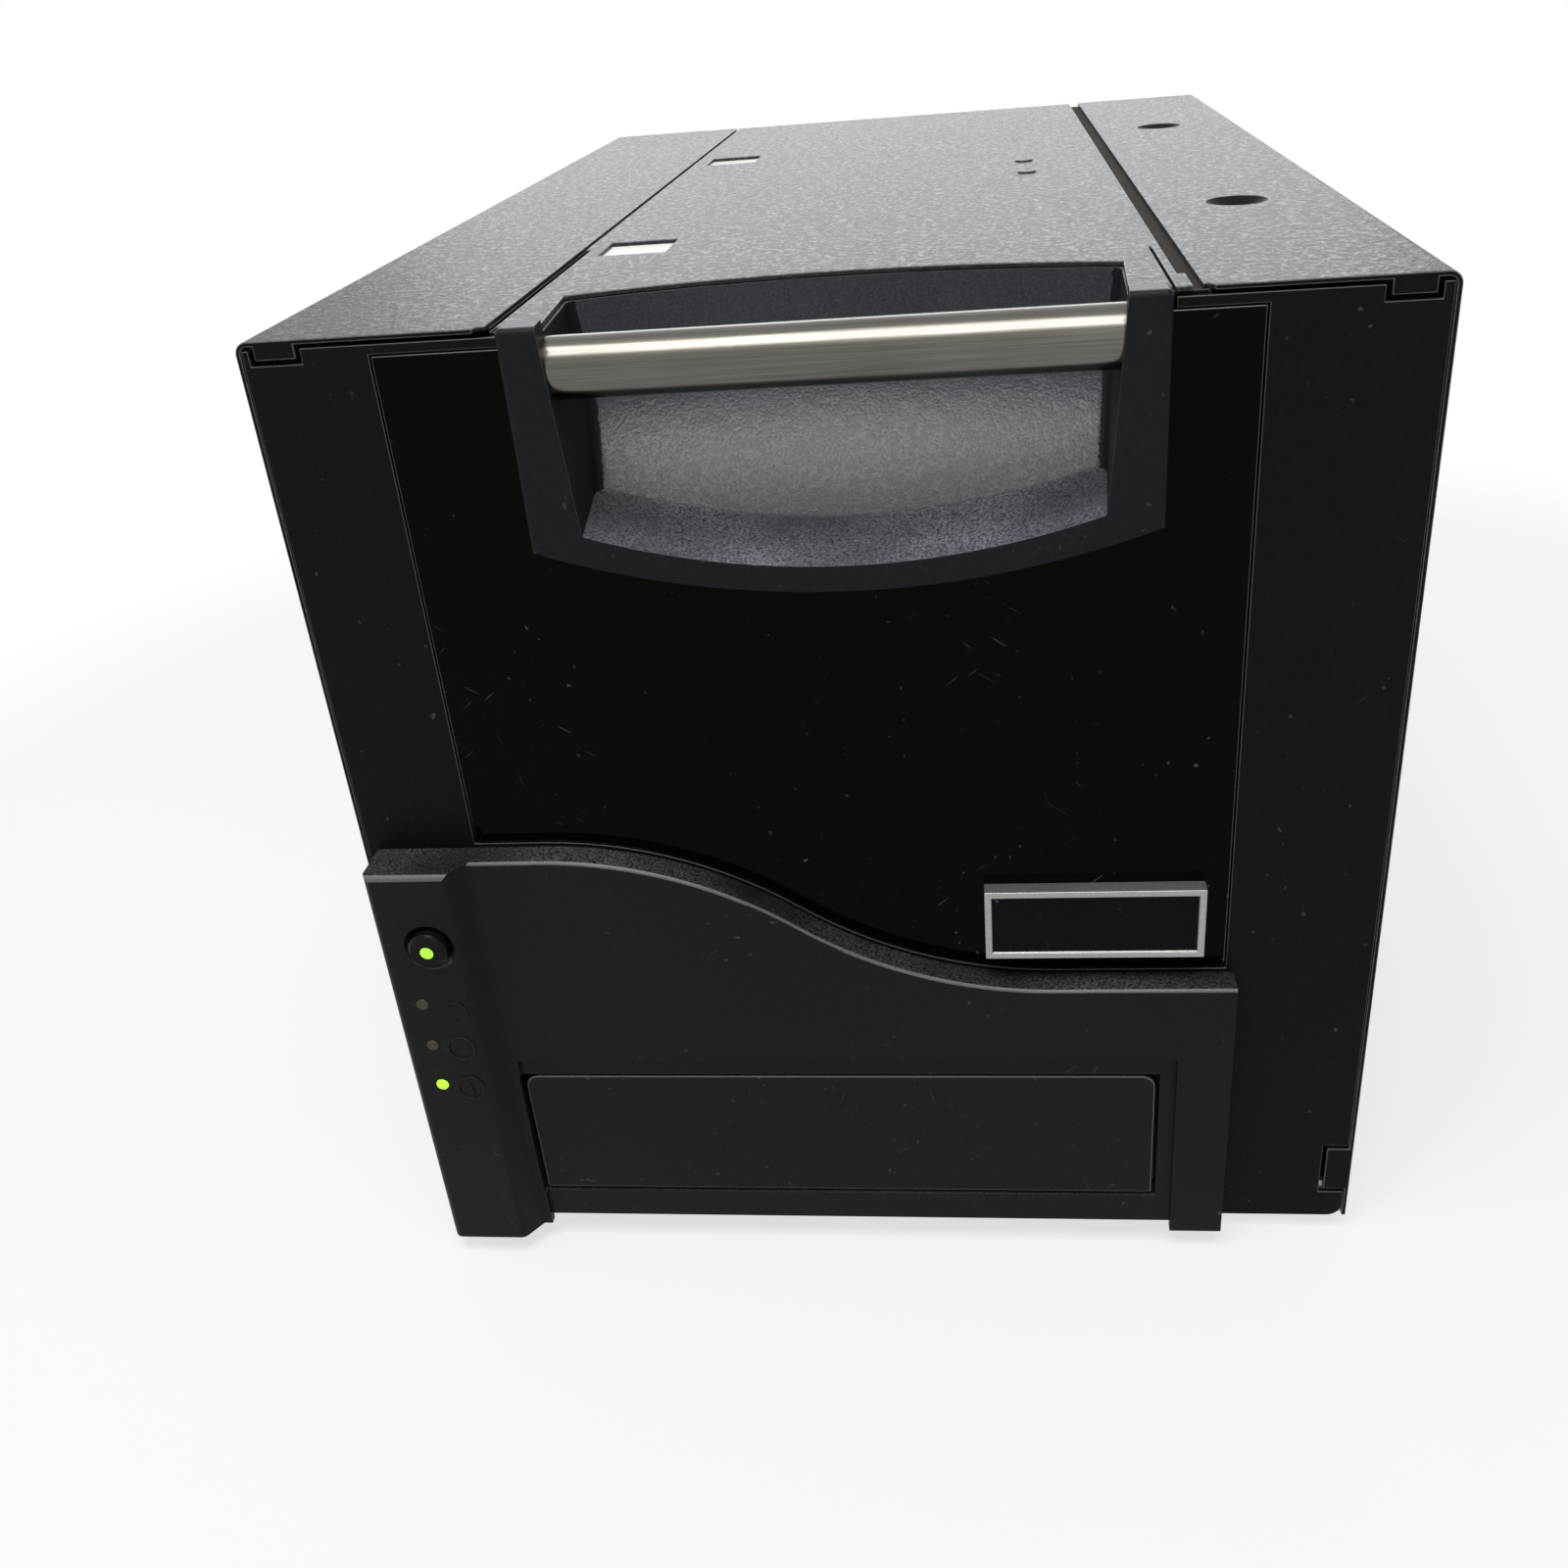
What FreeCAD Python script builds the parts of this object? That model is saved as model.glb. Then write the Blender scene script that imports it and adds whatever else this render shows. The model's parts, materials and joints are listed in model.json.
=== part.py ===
import FreeCAD, Part
import math
import os

Vector = FreeCAD.Vector
os.makedirs("parts", exist_ok=True)

# Lengths are in millimetres. While a piece is built, X runs to the right, Y backwards from the
# front edges of the covers and Z up from the underside of the base pan. The last lines move every
# piece to the part's own origin, which is on the floor under the middle of the whole printer.

over = 1.0                 # how far a cutter runs past the face it cuts
touch = 0.01               # nearer than this counts as being on a face

# Outside
case_width = 267.0
case_depth = 414.0
case_height = 265.0
half = case_width / 2
foot_height = 5.0
foot_radius = 11.0
foot_inset_x = 26.0
foot_inset_y = 30.0
foot_taper = 1.0

# Sheet metal
cover_sheet = 1.2
cover_fold = 3.0
frame_sheet = 1.5
left_seam = 58.2 - half    # inner edge of the left cover's top
right_seam = half - 52.3   # inner edge of the right cover's top
left_seam_gap = 1.5
left_front_gap = 3.0       # wider in front of the left ledge
right_seam_gap = 3.9
left_ledge = 5.2           # ledges of the bay walls under the top panel's side edges
right_ledge = 10.0
left_ledge_start = 104.0
seam_tab = (3.4, 9.0, 2.4)   # reach, length and drop of the tab at the left seam's front
right_ledge_start = 1.5
wall_front = 5.5           # the bay walls start behind the drawer's front sheet
pan_flange = 12.0
sheet_gap = 0.2            # between sheets that slip inside each other
cover_drop = 0.9           # from the front plate's top edge to the covers
plate_corner = 4.0         # lower corners of the front plate
plate_flange = 11.0        # the plate's top edges fold back by this
handle_side_gap = 1.5      # in the front plate, beside the handle
handle_notch = 5.0         # and below the drawer front's top edge
light_hole_margin = 1.0

# Tabs of the covers, in notches of the front plate
tab_drop = 3.2
tab_side_gap = 1.2
left_tab_x = (4.3 - half, 14.1 - half)
right_tab_x = (half - 14.1, half - 4.9)
side_tab_z = (10.3, 25.3)
side_tab_reach = 6.0
tab_overlap = 0.5          # of a top tab with the sheet it is bent from
relief_radius = 2.2

# Dimpled bolt holes in the right cover's top
dimple_x = half - 29.0
dimple_first_y = 108.5
dimple_spacing = 190.5
dimple_radius = 8.5
dimple_depth = 3.4
dimple_hole_radius = 2.75

# Windows in the top panel
window_x = (left_seam + 6.9, left_seam + 25.9)
window_first_y = (85.0, 106.0)
window_spacing = 190.5
insert_sheet = 1.4
insert_margin = 1.4

# Top panel's cut-out round the handle
cutout_front_x = (left_seam + 13.3, right_seam - 15.6)
cutout_rear_x = (left_seam + 11.0, right_seam - 13.8)
cutout_side_y = 32.0
cutout_middle_y = 42.5
panel_front = 0.4
left_gap_end = left_ledge_start - 8.0    # behind this the left seam is narrow
edge_slit_x = (right_seam - 6.5, right_seam - 5.8)
edge_slit_end = 48.0
edge_tab = (14.0, 1.7)     # length of the strip's tab and how far it comes out into the seam

# Swoop: the curve between the glossy front and the lower bezel
swoop_start_x = 49.5 - half
swoop_end_x = half - 83.5
swoop_high = 130.2
swoop_low = 87.5
swoop_gap = 1.6

# Lower bezel
bezel_left = 4.0 - half
bezel_right = half - 36.5
bezel_proud = 8.0
pillar_proud = 14.0
pillar_inner_x = bezel_left + 26.5
bezel_wall = 2.5
bezel_foot_z = 1.2
surround_x = (bezel_left + 29.0, bezel_right - 14.4)
surround_top = 64.0
surround_step = 1.3
strip_foot_z = 4.0
pillar_edge_radius = 2.6
bezel_edge_radius = 1.4
pillar_lean = 4.5          # how far the pillar's inner side leans over

# Tray face and its opening
face_x = (bezel_left + 29.5, bezel_right - 19.8)
face_z = (14.6, 57.2)
face_gap = 1.0
face_thickness = 3.0
face_setback = 0.3
face_corner = 4.0

# Button and lights on the pillar
button_x = bezel_left + 14.2
button_z = 107.6
button_radius = 5.4
button_clearance = 0.3
button_flare_radius = 7.0
button_proud = 1.6
button_stem_radius = 3.0
button_dome = 0.9
button_lug = (3.0, 6.9)    # half width and reach of the lugs that keep the button in
button_travel = 1.5
lens_depth = 1.2
switch_height = 2.0
lens_radius = 1.8
light_x = bezel_left + 8.3
light_first_z = 60.6
light_spacing = 14.1
light_radius = 1.75
light_clearance = 0.08
light_count = 3
board_setback = 9.0        # from the pillar's face to the control board
board_sheet = 1.6
board_side_gaps = (0.8, 2.0)   # from the board's sides to the pillar's inner walls
board_ends = (10.0, 12.0)      # how far it runs past the lowest light and past the button
switch_half = 3.0
board_spacer_radius = 2.5
board_spacer_inset = 4.0
light_proud = 0.3
lug_gap = 1.6              # from the bezel's wall to the back of the button's lugs
lug_thickness = 1.0
switch_gap = 0.1
lens_rise = 0.1            # the lens stands this far below the dome's top

# Glossy drawer front
gloss_x = (31.5 - half, half - 39.0)
gloss_top = case_height - 4.8
gloss_thickness = 3.0
gloss_gap = 0.4
gloss_corner = 2.0

# Handle
handle_x = (left_seam + 5.1, right_seam - 7.0)
handle_proud = 8.5
handle_top = case_height + 1.2
handle_corner_z = case_height - 50.4
handle_low_z = case_height - 62.8
arm_top_width = 9.1
arm_low_width = 12.7
rim_corner_z = case_height - 46.4
rim_low_z = case_height - 55.9
rim_round = 1.6
scoop_slope_start = -20.0  # the back wall stands upright above this
scoop_floor = -58.0        # the scoop is cut down to here, below its floor's middle
scoop_levels = 8           # how many level outlines shape the curving back
scoop_top = 6.0
scoop_foot_y = 17.0        # where the back wall meets the floor
scoop_middle_foot = -52.0  # its height there, below the case's top
scoop_side_foot = -43.0
scoop_draft = 0.09         # how fast the side walls close in going down
floor_slope = 0.13         # how fast the hollow's floor rises going back
mouth_spread = 0.075       # how fast the mouth's sides part going back
crease_radius = 3.5
crease_start_y = 8.0       # the hollow's edges behind this are rounded
tub_wall = 2.5
tub_top_gap = 0.2          # under the top panel
tub_gap = 0.3              # round the tub where it passes through the front sheets
hollow_rise = 2.0          # how far the cutters of the hollow reach above the rim
hollow_power = 1.7         # how fast the scoop's back comes forward towards its foot
mouth_step = 0.3           # the hollow is this much narrower than the top panel's cut-out
relief_top = -30.0         # the tub's rear slopes away from here, along the scoop's back
relief_foot = (20.0, -64.0)
bar_radius = 7.0
bar_y = -0.6
bar_z = case_height - 9.4
bar_seat = 4.0             # how far the bar goes into each arm

# Badge plate
badge_x = (gloss_x[1] - 62.5, gloss_x[1] - 6.1)
badge_z = (95.6, 116.4)
badge_thickness = 4.6
badge_rim = 1.8
badge_recess = 0.6

# Drawer
drawer_travel = 240.0
drawer_floor_z = 134.0
drawer_wall_top = case_height - 9.0
drawer_low_wall_top = handle_low_z - 7.0
drawer_rear_y = case_depth - 18.0
tub_clearance = 2.0
wall_bevel = 20.0          # at the step of the drawer's walls behind the tub
front_sheet_inset = 3.0    # of the drawer's front sheet from the glossy front's edge
front_sheet_drop = 2.0
rail_room = 10.0           # between a bay wall and the drawer's side
rail_sheet = 1.2
rail_height = 34.0
rail_low_z = 146.0
rail_slip = 0.3
rail_front_y = 6.5
outer_rail_rear = case_depth - 10.0
inner_rail_rear = drawer_rear_y - 4.0

# Rolls and rollers, as (Y, Z) of each axis
web_gap = 6.4              # from a wound web's end to the drawer's outer side
shaft_radius = 4.0
shaft_clearance = 0.05
shaft_inset = 0.1          # from a shaft's end to the wall's outer face
core_radius = 13.0
core_end = 1.0             # how far a core stands out beside the wound web
film_supply_at = (drawer_rear_y - 44.0, drawer_wall_top - 40.0)
film_supply_radius = 32.0
film_takeup_at = (96.0, drawer_wall_top - 40.0)
film_takeup_radius = 26.0
ribbon_supply_at = (film_supply_at[0] - 60.0, drawer_wall_top - 26.0)
ribbon_supply_radius = 25.0
ribbon_takeup_at = (ribbon_supply_at[0] - 78.0, drawer_wall_top - 27.0)
ribbon_takeup_radius = 22.0
platen_at = (252.0, drawer_floor_z + 24.0)
platen_radius = 11.0
heated_at = (200.0, drawer_floor_z + 11.0)
heated_radius = 14.0
guide_at = (150.0, drawer_floor_z + 15.0)
guide_radius = 5.0
heated_window_gap = 4.0
heated_window_side = 3.0
sleeve_overhang = 0.5      # of the rollers' sleeves beside the web
link_end = 0.5             # of the geared spindles' shafts past the gear
flange_rim = 2.0           # the cores' end discs stand proud of the web by this
flange_sheet = 1.2

# Printhead
head_thickness = 12.0
head_height = 20.0
head_gap = 0.6             # for the film and the ribbon over the platen roller
head_pivot = (platen_at[0] + 28.0, platen_at[1] + 36.0)
head_arm_sheet = 2.2
head_side_gap = 0.4
head_fin_count = 5
head_fin_height = 9.0
head_lip = 2.0             # height and half width of the printing edge
head_sink_base = 4.0
head_arm_low = (8.0, 4.0)  # from the head's foot to the arms' lower edge, front and back
head_eye = (6.0, 7.0)      # half length and half height of the arms' ends round the pivot

# Gears
gear_module = 1.0
gear_face = 4.6
pressure_angle = math.radians(20.0)
backlash = 0.16
tip_height = 0.92
root_depth = 1.2
pinion_teeth = 18
film_gear_teeth = 56
ribbon_gear_teeth = 50
film_motor_angle = -13.0   # degrees above +Y, seen from the take-up spindle
ribbon_motor_angle = -170.0
gear_wall_gap = 0.8
motor_radius = 8.0
motor_length = 34.0
motor_shaft_radius = 1.5
motor_block = 22.0         # side of the tray's and the shuttle's motors

# Disc tray
tray_travel = 150.0
disc_radius = 60.0
disc_clearance = 0.4
disc_centre_x = (left_seam + right_seam) / 2
disc_centre_y = 78.0
well_depth = 1.6
well_ledge = 5.0
tray_low_z = 32.0
tray_thickness = 8.0
tray_plate_rear = 148.0
tray_arm_rear = 330.0
tray_arm_width = 15.0
tray_slot_width = 44.0
guide_sheet = 1.2
guide_depth = 7.0
guide_slip = 0.3
guide_front_y = 6.0
guide_rear_y = 340.0
rack_width = 6.0
rack_inset = 2.5           # from the arm's inner side to the rack
rack_base = 1.2
rack_start_y = 28.0
rack_end_y = 204.0
pinion_y = 40.0
pinion_boss_radius = 3.0
pinion_boss_clearance = 1.0
pinion_overhang = 0.5      # of the pinion's sides beside the rack
pinion_boss_gap = 0.3      # from the boss to the motor

# Lift that carries the disc up and back
rod_radius = 4.0
rod_spread = 86.0
rod_z = 10.0
rod_clearance = 0.05
rod_front_y = 8.0
rod_rear_y = case_depth - 30.0
support_thickness = 6.0
support_height = 18.0
support_margin = 10.0
screw_radius = 3.5
screw_motor_gap = 0.3
lift_screw_gaps = (0.1, 0.2)   # under the lift screw and at its top
carriage_y = (144.0, 192.0)
carriage_z = (4.5, 16.0)
mast_width = 50.0
mast_y = (178.0, 184.0)
mast_top = 130.0
bracket_sheet = 3.0
bracket_reach = 7.0        # how far the mast's top reaches over the posts
post_radius = 4.0
post_spread = 32.0
post_y = 167.0
platform_radius = 52.0
platform_top = 31.0
platform_thickness = 3.0
hub_radius = 7.4
hub_height = 1.0
lift_arm_width = 30.0
slider_y = (159.0, 175.0)
slider_height = 12.0
slider_float = 0.5
slider_margin = 4.0        # of the slider outside the posts
lift_arm_overlap = (8.0, 1.0)  # of the arm with the platform and with the slider
lift_arm_foot = 5.0

# Electrics
supply_size = (40.0, 150.0, 100.0)
supply_rear_gap = 28.0     # room for the power inlet behind it
supply_y = case_depth - supply_rear_gap - supply_size[1]
supply_vents = 9
supply_vent_pitch = 14.0
supply_margin = 14.0
supply_gap = 1.0
board_y = (60.0, case_depth - 34.0)
board_z = (40.0, case_height - 25.0)
board_x = right_seam + 10.8
standoff_radius = 3.5
standoff_inset = 14.0
chip_size = 30.0
chip_height = 4.0
relay_size = (12.0, 20.0, 14.0)
relay_pitch = 28.0
capacitor_radius = 6.0
capacitor_height = 13.0
capacitor_pitch = 18.0
part_count = 4
fan_size = 40.0
fan_depth = 15.0
fan_bore_radius = 18.6
fan_blade_radius = 17.8
fan_hub_radius = 8.0
fan_blades = 7
fan_screw_spread = 32.0
fan_screw_hole = 1.7
fan_z = case_height - 75.0
fan_x = half - 25.5
fan_shaft_radius = 1.5
fan_shaft_setback = 3.0
fan_strut = (3.0, 2.0)     # width and depth of the struts that hold the hub
fan_hub_rim = 1.0
fan_rotor_gaps = (0.3, 1.5)    # to the struts in front and to the rear panel
fan_blade_sheet = 1.4
fan_blade_inset = 0.6
fan_blade_lean = 38.0
fan_bore_gap = 0.3
inlet_x = 25.5 - half
inlet_z = 60.0
inlet_size = (28.0, 48.0)
socket_size = (24.2, 16.4)
socket_depth = 16.0
socket_drop = 12.0         # from the inlet's middle down to the socket's middle
inlet_wall = 2.0
inlet_gap = 0.3
inlet_lip = (2.0, 1.5)     # how far the lip reaches round the opening and its thickness
pin_size = (2.0, 11.0, 4.0)
pin_spread = 14.0
pin_offset = 2.0           # the outer pins sit below the middle, the inner one above
rocker_opening = (19.0, 13.0)
rocker_rise = 13.0
rocker_clearance = 0.3
rocker_tilt = 8.0
rocker_rise_out = 2.8
rocker_well_depth = 12.0
rocker_axis_depth = 3.5    # from the inlet's lip to the rocker's pin
rocker_seat = 1.5          # how deep the pin's seats are
rocker_pin_reach = 1.2
rocker_end_gap = 1.0
rocker_foot = 3.5
rocker_slant = 1.5
rocker_tip = 0.4
rocker_dip = 1.0           # the cap's middle is this much lower than its ends
rocker_pin_radius = 1.5
rocker_pin_clearance = 0.08
port_x = half - 25.5
port_z = 70.0
port_size = (12.2, 11.0, 16.5)
port_hole = (8.6, 8.0)
port_depth = 13.0
port_tongue = (5.4, 3.0)
port_tongue_setback = 4.4
port_gap = 0.2
port_tongue_root = 0.5     # how far the tongue goes into the port's back wall
vent_count = 9
vent_pitch = 8.0
vent_first_z = 130.0
vent_slot = (34.0, 3.2)
grille_pitch = 3.4
grille_slot = 2.1
grille_spoke = 1.8
grille_turns = (45, 135)

# Screws
screw_head_radius = 3.2
screw_head_height = 1.6
screw_shank_radius = 1.5
screw_shank_length = 5.0
screw_inset = 10.0
screw_low_z = 20.0
screw_high_drop = 25.0

# Values that follow
inside = half - cover_sheet
cover_under = case_height - cover_sheet
plate_top = cover_under - cover_drop
plate_half = inside - sheet_gap
rear_y = case_depth - frame_sheet
left_wall_in = left_seam
right_wall_in = right_seam
drawer_left = left_wall_in + rail_room
drawer_right = right_wall_in - rail_room
drawer_middle = (drawer_left + drawer_right) / 2
handle_middle = (handle_x[0] + handle_x[1]) / 2
chassis_front = gloss_thickness
web_left = drawer_left + web_gap
web_right = drawer_right - web_gap
tray_top = tray_low_z + tray_thickness
pitch = math.pi * gear_module
rack_pitch_z = tray_low_z - rack_base - root_depth * gear_module
pinion_radius = pinion_teeth * gear_module / 2
pinion_z = rack_pitch_z - pinion_radius
whole_front = -pillar_proud - button_proud - button_dome

def past(limits):
    """Limits for a cutter that runs past both faces."""
    return (limits[0] - over, limits[1] + over)


def slab(x, y, z):
    """A block between two limits along each axis."""
    corner = Vector(x[0], y[0], z[0])
    return Part.makeBox(x[1] - x[0], y[1] - y[0], z[1] - z[0], corner)


def round_x(at, radius, x):
    return Part.makeCylinder(radius, x[1] - x[0], Vector(x[0], at[0], at[1]), Vector(1, 0, 0))


def round_y(at, radius, y):
    return Part.makeCylinder(radius, y[1] - y[0], Vector(at[0], y[0], at[1]), Vector(0, 1, 0))


def round_z(at, radius, z):
    return Part.makeCylinder(radius, z[1] - z[0], Vector(at[0], at[1], z[0]), Vector(0, 0, 1))


def edges_along(path, to_space):
    """Edges through a path of points. An entry of two points is an arc by its middle and end."""
    start = to_space(*path[0])
    edges = []
    for step in path[1:]:
        if isinstance(step[0], tuple):
            middle, end = to_space(*step[0]), to_space(*step[1])
            edges.append(Part.Arc(start, middle, end).toShape())
        else:
            end = to_space(*step)
            edges.append(Part.makeLine(start, end))
        start = end
    return edges


def closed_prism(path, to_space, along):
    last = path[-1][1] if isinstance(path[-1][0], tuple) else path[-1]
    if last != path[0]:
        path = path + [path[0]]
    return Part.Face(Part.Wire(edges_along(path, to_space))).extrude(along)


def prism_x(path, x):
    """A path of (Y, Z) points, drawn out along X."""
    return closed_prism(path, lambda y, z: Vector(x[0], y, z), Vector(x[1] - x[0], 0, 0))


def prism_y(path, y):
    """A path of (X, Z) points, drawn out along Y."""
    return closed_prism(path, lambda a, z: Vector(a, y[0], z), Vector(0, y[1] - y[0], 0))


def prism_z(path, z):
    """A path of (X, Y) points, drawn out along Z."""
    return closed_prism(path, lambda a, b: Vector(a, b, z[0]), Vector(0, 0, z[1] - z[0]))


def fuse_all(first, *others):
    shape = first
    for other in others:
        shape = shape.fuse(other)
    return shape.removeSplitter()


def along(part_of_direction):
    """Whether an edge runs along the axis whose share of its direction is given."""
    return abs(part_of_direction) > 0.99


def rounded(shape, radius, wanted):
    """The shape with each edge that wanted(middle point, direction) picks rounded off."""
    chosen = []
    for edge in shape.Edges:
        first, last = edge.ParameterRange
        point = edge.valueAt((first + last) / 2)
        ends = [vertex.Point for vertex in edge.Vertexes]
        if len(ends) == 2 and wanted(point, (ends[1] - ends[0]).normalize()):
            chosen.append(edge)
    return shape.makeFillet(radius, chosen)


def swoop(lift, right_to_left=False):
    """The curve's path from its high end to its low end, as two tangent arcs."""
    run = swoop_end_x - swoop_start_x
    drop = swoop_high - swoop_low
    radius = (run * run + drop * drop) / (4 * drop)
    quarter = run / 4
    sag = radius - math.sqrt(radius * radius - quarter * quarter)
    start = (swoop_start_x, swoop_high + lift)
    upper = (swoop_start_x + quarter, swoop_high + lift - sag)
    centre = ((swoop_start_x + swoop_end_x) / 2, (swoop_high + swoop_low) / 2 + lift)
    lower = (swoop_end_x - quarter, swoop_low + lift + sag)
    end = (swoop_end_x, swoop_low + lift)
    if right_to_left:
        return [end, (lower, centre), (upper, start)]
    return [start, (upper, centre), (lower, end)]


def channel(x_web, x_tips, y, z, sheet, web=None):
    """A C-section along Y with its web at x_web and its two flanges reaching to x_tips."""
    inward = math.copysign(web or sheet, x_tips - x_web)
    web_side = sorted((x_web, x_web + inward))
    reach = sorted((x_web, x_tips))
    shape = slab(web_side, y, z)
    for low in (z[0], z[1] - sheet):
        shape = shape.fuse(slab(reach, y, (low, low + sheet)))
    return shape.removeSplitter()


def polar(radius, angle):
    return (radius * math.cos(angle), radius * math.sin(angle))


def gear_outline(teeth, at, tooth_angle):
    """(Y, Z) points of an involute wheel with one tooth's middle at tooth_angle."""
    pitch_radius = teeth * gear_module / 2
    base_radius = pitch_radius * math.cos(pressure_angle)
    tip = pitch_radius + tip_height * gear_module
    root = pitch_radius - root_depth * gear_module
    slack = backlash / 2 / pitch_radius
    half_tooth = math.pi / (2 * teeth) - slack + math.tan(pressure_angle) - pressure_angle
    low = max(base_radius, root)
    steps = 3
    flank = []
    for step in range(steps + 1):
        radius = low + (tip - low) * step / steps
        roll = math.sqrt(max(radius * radius / (base_radius * base_radius) - 1, 0))
        flank.append((radius, half_tooth - (roll - math.atan(roll))))
    points = []
    for tooth in range(teeth):
        middle = tooth_angle + 2 * math.pi * tooth / teeth
        side = [(root, half_tooth)] + flank if root < low else flank
        outline = [(radius, -angle) for radius, angle in side]
        outline += [(radius, angle) for radius, angle in reversed(side)]
        for radius, angle in outline:
            y, z = polar(radius, middle + angle)
            points.append((at[0] + y, at[1] + z))
    return points


def gear(teeth, at, tooth_angle, x):
    return prism_x(gear_outline(teeth, at, tooth_angle), x)


# Case

def base_pan():
    floor = slab((-plate_half, plate_half), (frame_sheet, rear_y), (0, frame_sheet))
    flanges = []
    for side in (-1, 1):
        outer = sorted((side * plate_half, side * (plate_half - frame_sheet)))
        flanges.append(slab(outer, (frame_sheet, rear_y), (0, pan_flange)))
    for y in (frame_sheet, rear_y - frame_sheet):
        flanges.append(slab((-plate_half, plate_half), (y, y + frame_sheet), (0, pan_flange)))
    return fuse_all(floor, *flanges)


def foot_places():
    for x in (-half + foot_inset_x, half - foot_inset_x):
        for y in (foot_inset_y, case_depth - foot_inset_y):
            yield x, y


def rubber_feet():
    feet = []
    for at in foot_places():
        foot = Part.makeCone(foot_radius - foot_taper, foot_radius, foot_height,
                             Vector(at[0], at[1], -foot_height))
        feet.append(foot)
    return Part.makeCompound(feet)


def bay_wall(wall_in, outward, ledge_width, ledge_start):
    """One of the two upright walls beside the drawer, with its ledge for the top panel."""
    wall_rear = rear_y - frame_sheet
    sheet = sorted((wall_in, wall_in + outward * frame_sheet))
    wall = slab(sheet, (wall_front, wall_rear), (frame_sheet, cover_under))
    ledge_x = sorted((wall_in + outward * frame_sheet, wall_in - outward * ledge_width))
    ledge = slab(ledge_x, (ledge_start, wall_rear), (cover_under - frame_sheet, cover_under))
    foot_x = sorted((wall_in, wall_in + outward * (frame_sheet + pan_flange)))
    foot = slab(foot_x, (wall_front, rear_y - frame_sheet), (frame_sheet, 2 * frame_sheet))
    return fuse_all(wall, ledge, foot)


def left_bay_wall():
    """The left wall, with a small bent tab in the open front end of the seam."""
    tab = slab((left_wall_in, left_wall_in + seam_tab[0]), (wall_front, wall_front + seam_tab[1]),
               (cover_under - seam_tab[2], cover_under - seam_tab[2] + frame_sheet))
    return fuse_all(bay_wall(left_wall_in, -1, left_ledge, left_ledge_start), tab)


def right_bay_wall():
    wall = bay_wall(right_wall_in, 1, right_ledge, right_ledge_start)
    hole = round_x((pinion_y, pinion_z), pinion_boss_radius + pinion_boss_clearance,
                   past((right_wall_in, right_wall_in + frame_sheet)))
    return wall.cut(hole)


def cover(outward, seam):
    """A side cover: one sheet folded over the top edge, with tabs bent down at its front."""
    outer = outward * half
    inner = outward * inside
    fold_x = outward * (half - cover_fold)
    fold_z = case_height - cover_fold
    bend = cover_fold - cover_sheet
    corner = math.sqrt(0.5)
    outer_mid = (fold_x + outward * cover_fold * corner, fold_z + cover_fold * corner)
    inner_mid = (fold_x + outward * bend * corner, fold_z + bend * corner)
    section = [(outer, 0), (outer, fold_z), (outer_mid, (fold_x, case_height)),
               (seam, case_height), (seam, cover_under),
               (fold_x, cover_under), (inner_mid, (inner, fold_z)), (inner, 0)]
    shape = prism_y(section, (0, case_depth))
    top_tab_x = right_tab_x if outward > 0 else left_tab_x
    top_tab = slab(top_tab_x, (0, cover_sheet), (cover_under - tab_drop, cover_under + tab_overlap))
    side_x = sorted((inner, inner - outward * side_tab_reach))
    side_tab = slab(side_x, (0, cover_sheet), side_tab_z)
    shape = fuse_all(shape, top_tab, side_tab)
    relief = round_z((seam, 0), relief_radius, past((cover_under, case_height)))
    return shape.cut(relief)


def dimple_places():
    for step in range(2):
        yield dimple_x, dimple_first_y + step * dimple_spacing


def right_cover():
    shape = cover(1, right_seam)
    for at in dimple_places():
        top = Vector(at[0], at[1], case_height)
        under = Vector(at[0], at[1], cover_under)
        pressed = Part.makeCone(dimple_radius, dimple_hole_radius + cover_sheet, dimple_depth,
                                under, Vector(0, 0, -1))
        shape = shape.fuse(pressed)
        hollow = Part.makeCone(dimple_radius, dimple_hole_radius, dimple_depth, top,
                               Vector(0, 0, -1))
        hole = round_z(at, dimple_hole_radius, (cover_under - 2 * dimple_depth, case_height))
        shape = shape.cut(hollow).cut(hole)
    return shape


plate_through = past((0, frame_sheet))


def front_notches():
    wide = tab_side_gap
    for limits in (left_tab_x, right_tab_x):
        yield slab((limits[0] - wide, limits[1] + wide), plate_through,
                   (cover_under - tab_drop - wide, plate_top + over))
    for side in (-1, 1):
        x = sorted((side * (inside - side_tab_reach - wide), side * half))
        yield slab(x, plate_through, (side_tab_z[0] - wide, side_tab_z[1] + wide))


def gloss_opening(gap):
    """The outline of the drawer front, grown by gap, as a path of (X, Z) points."""
    left, right = gloss_x[0] - gap, gloss_x[1] + gap
    curve = swoop(swoop_gap - gap)
    return [(left, gloss_top + gap), (left, curve[0][1])] + curve + [
        (right, curve[-1][1][1]), (right, gloss_top + gap)]


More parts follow.
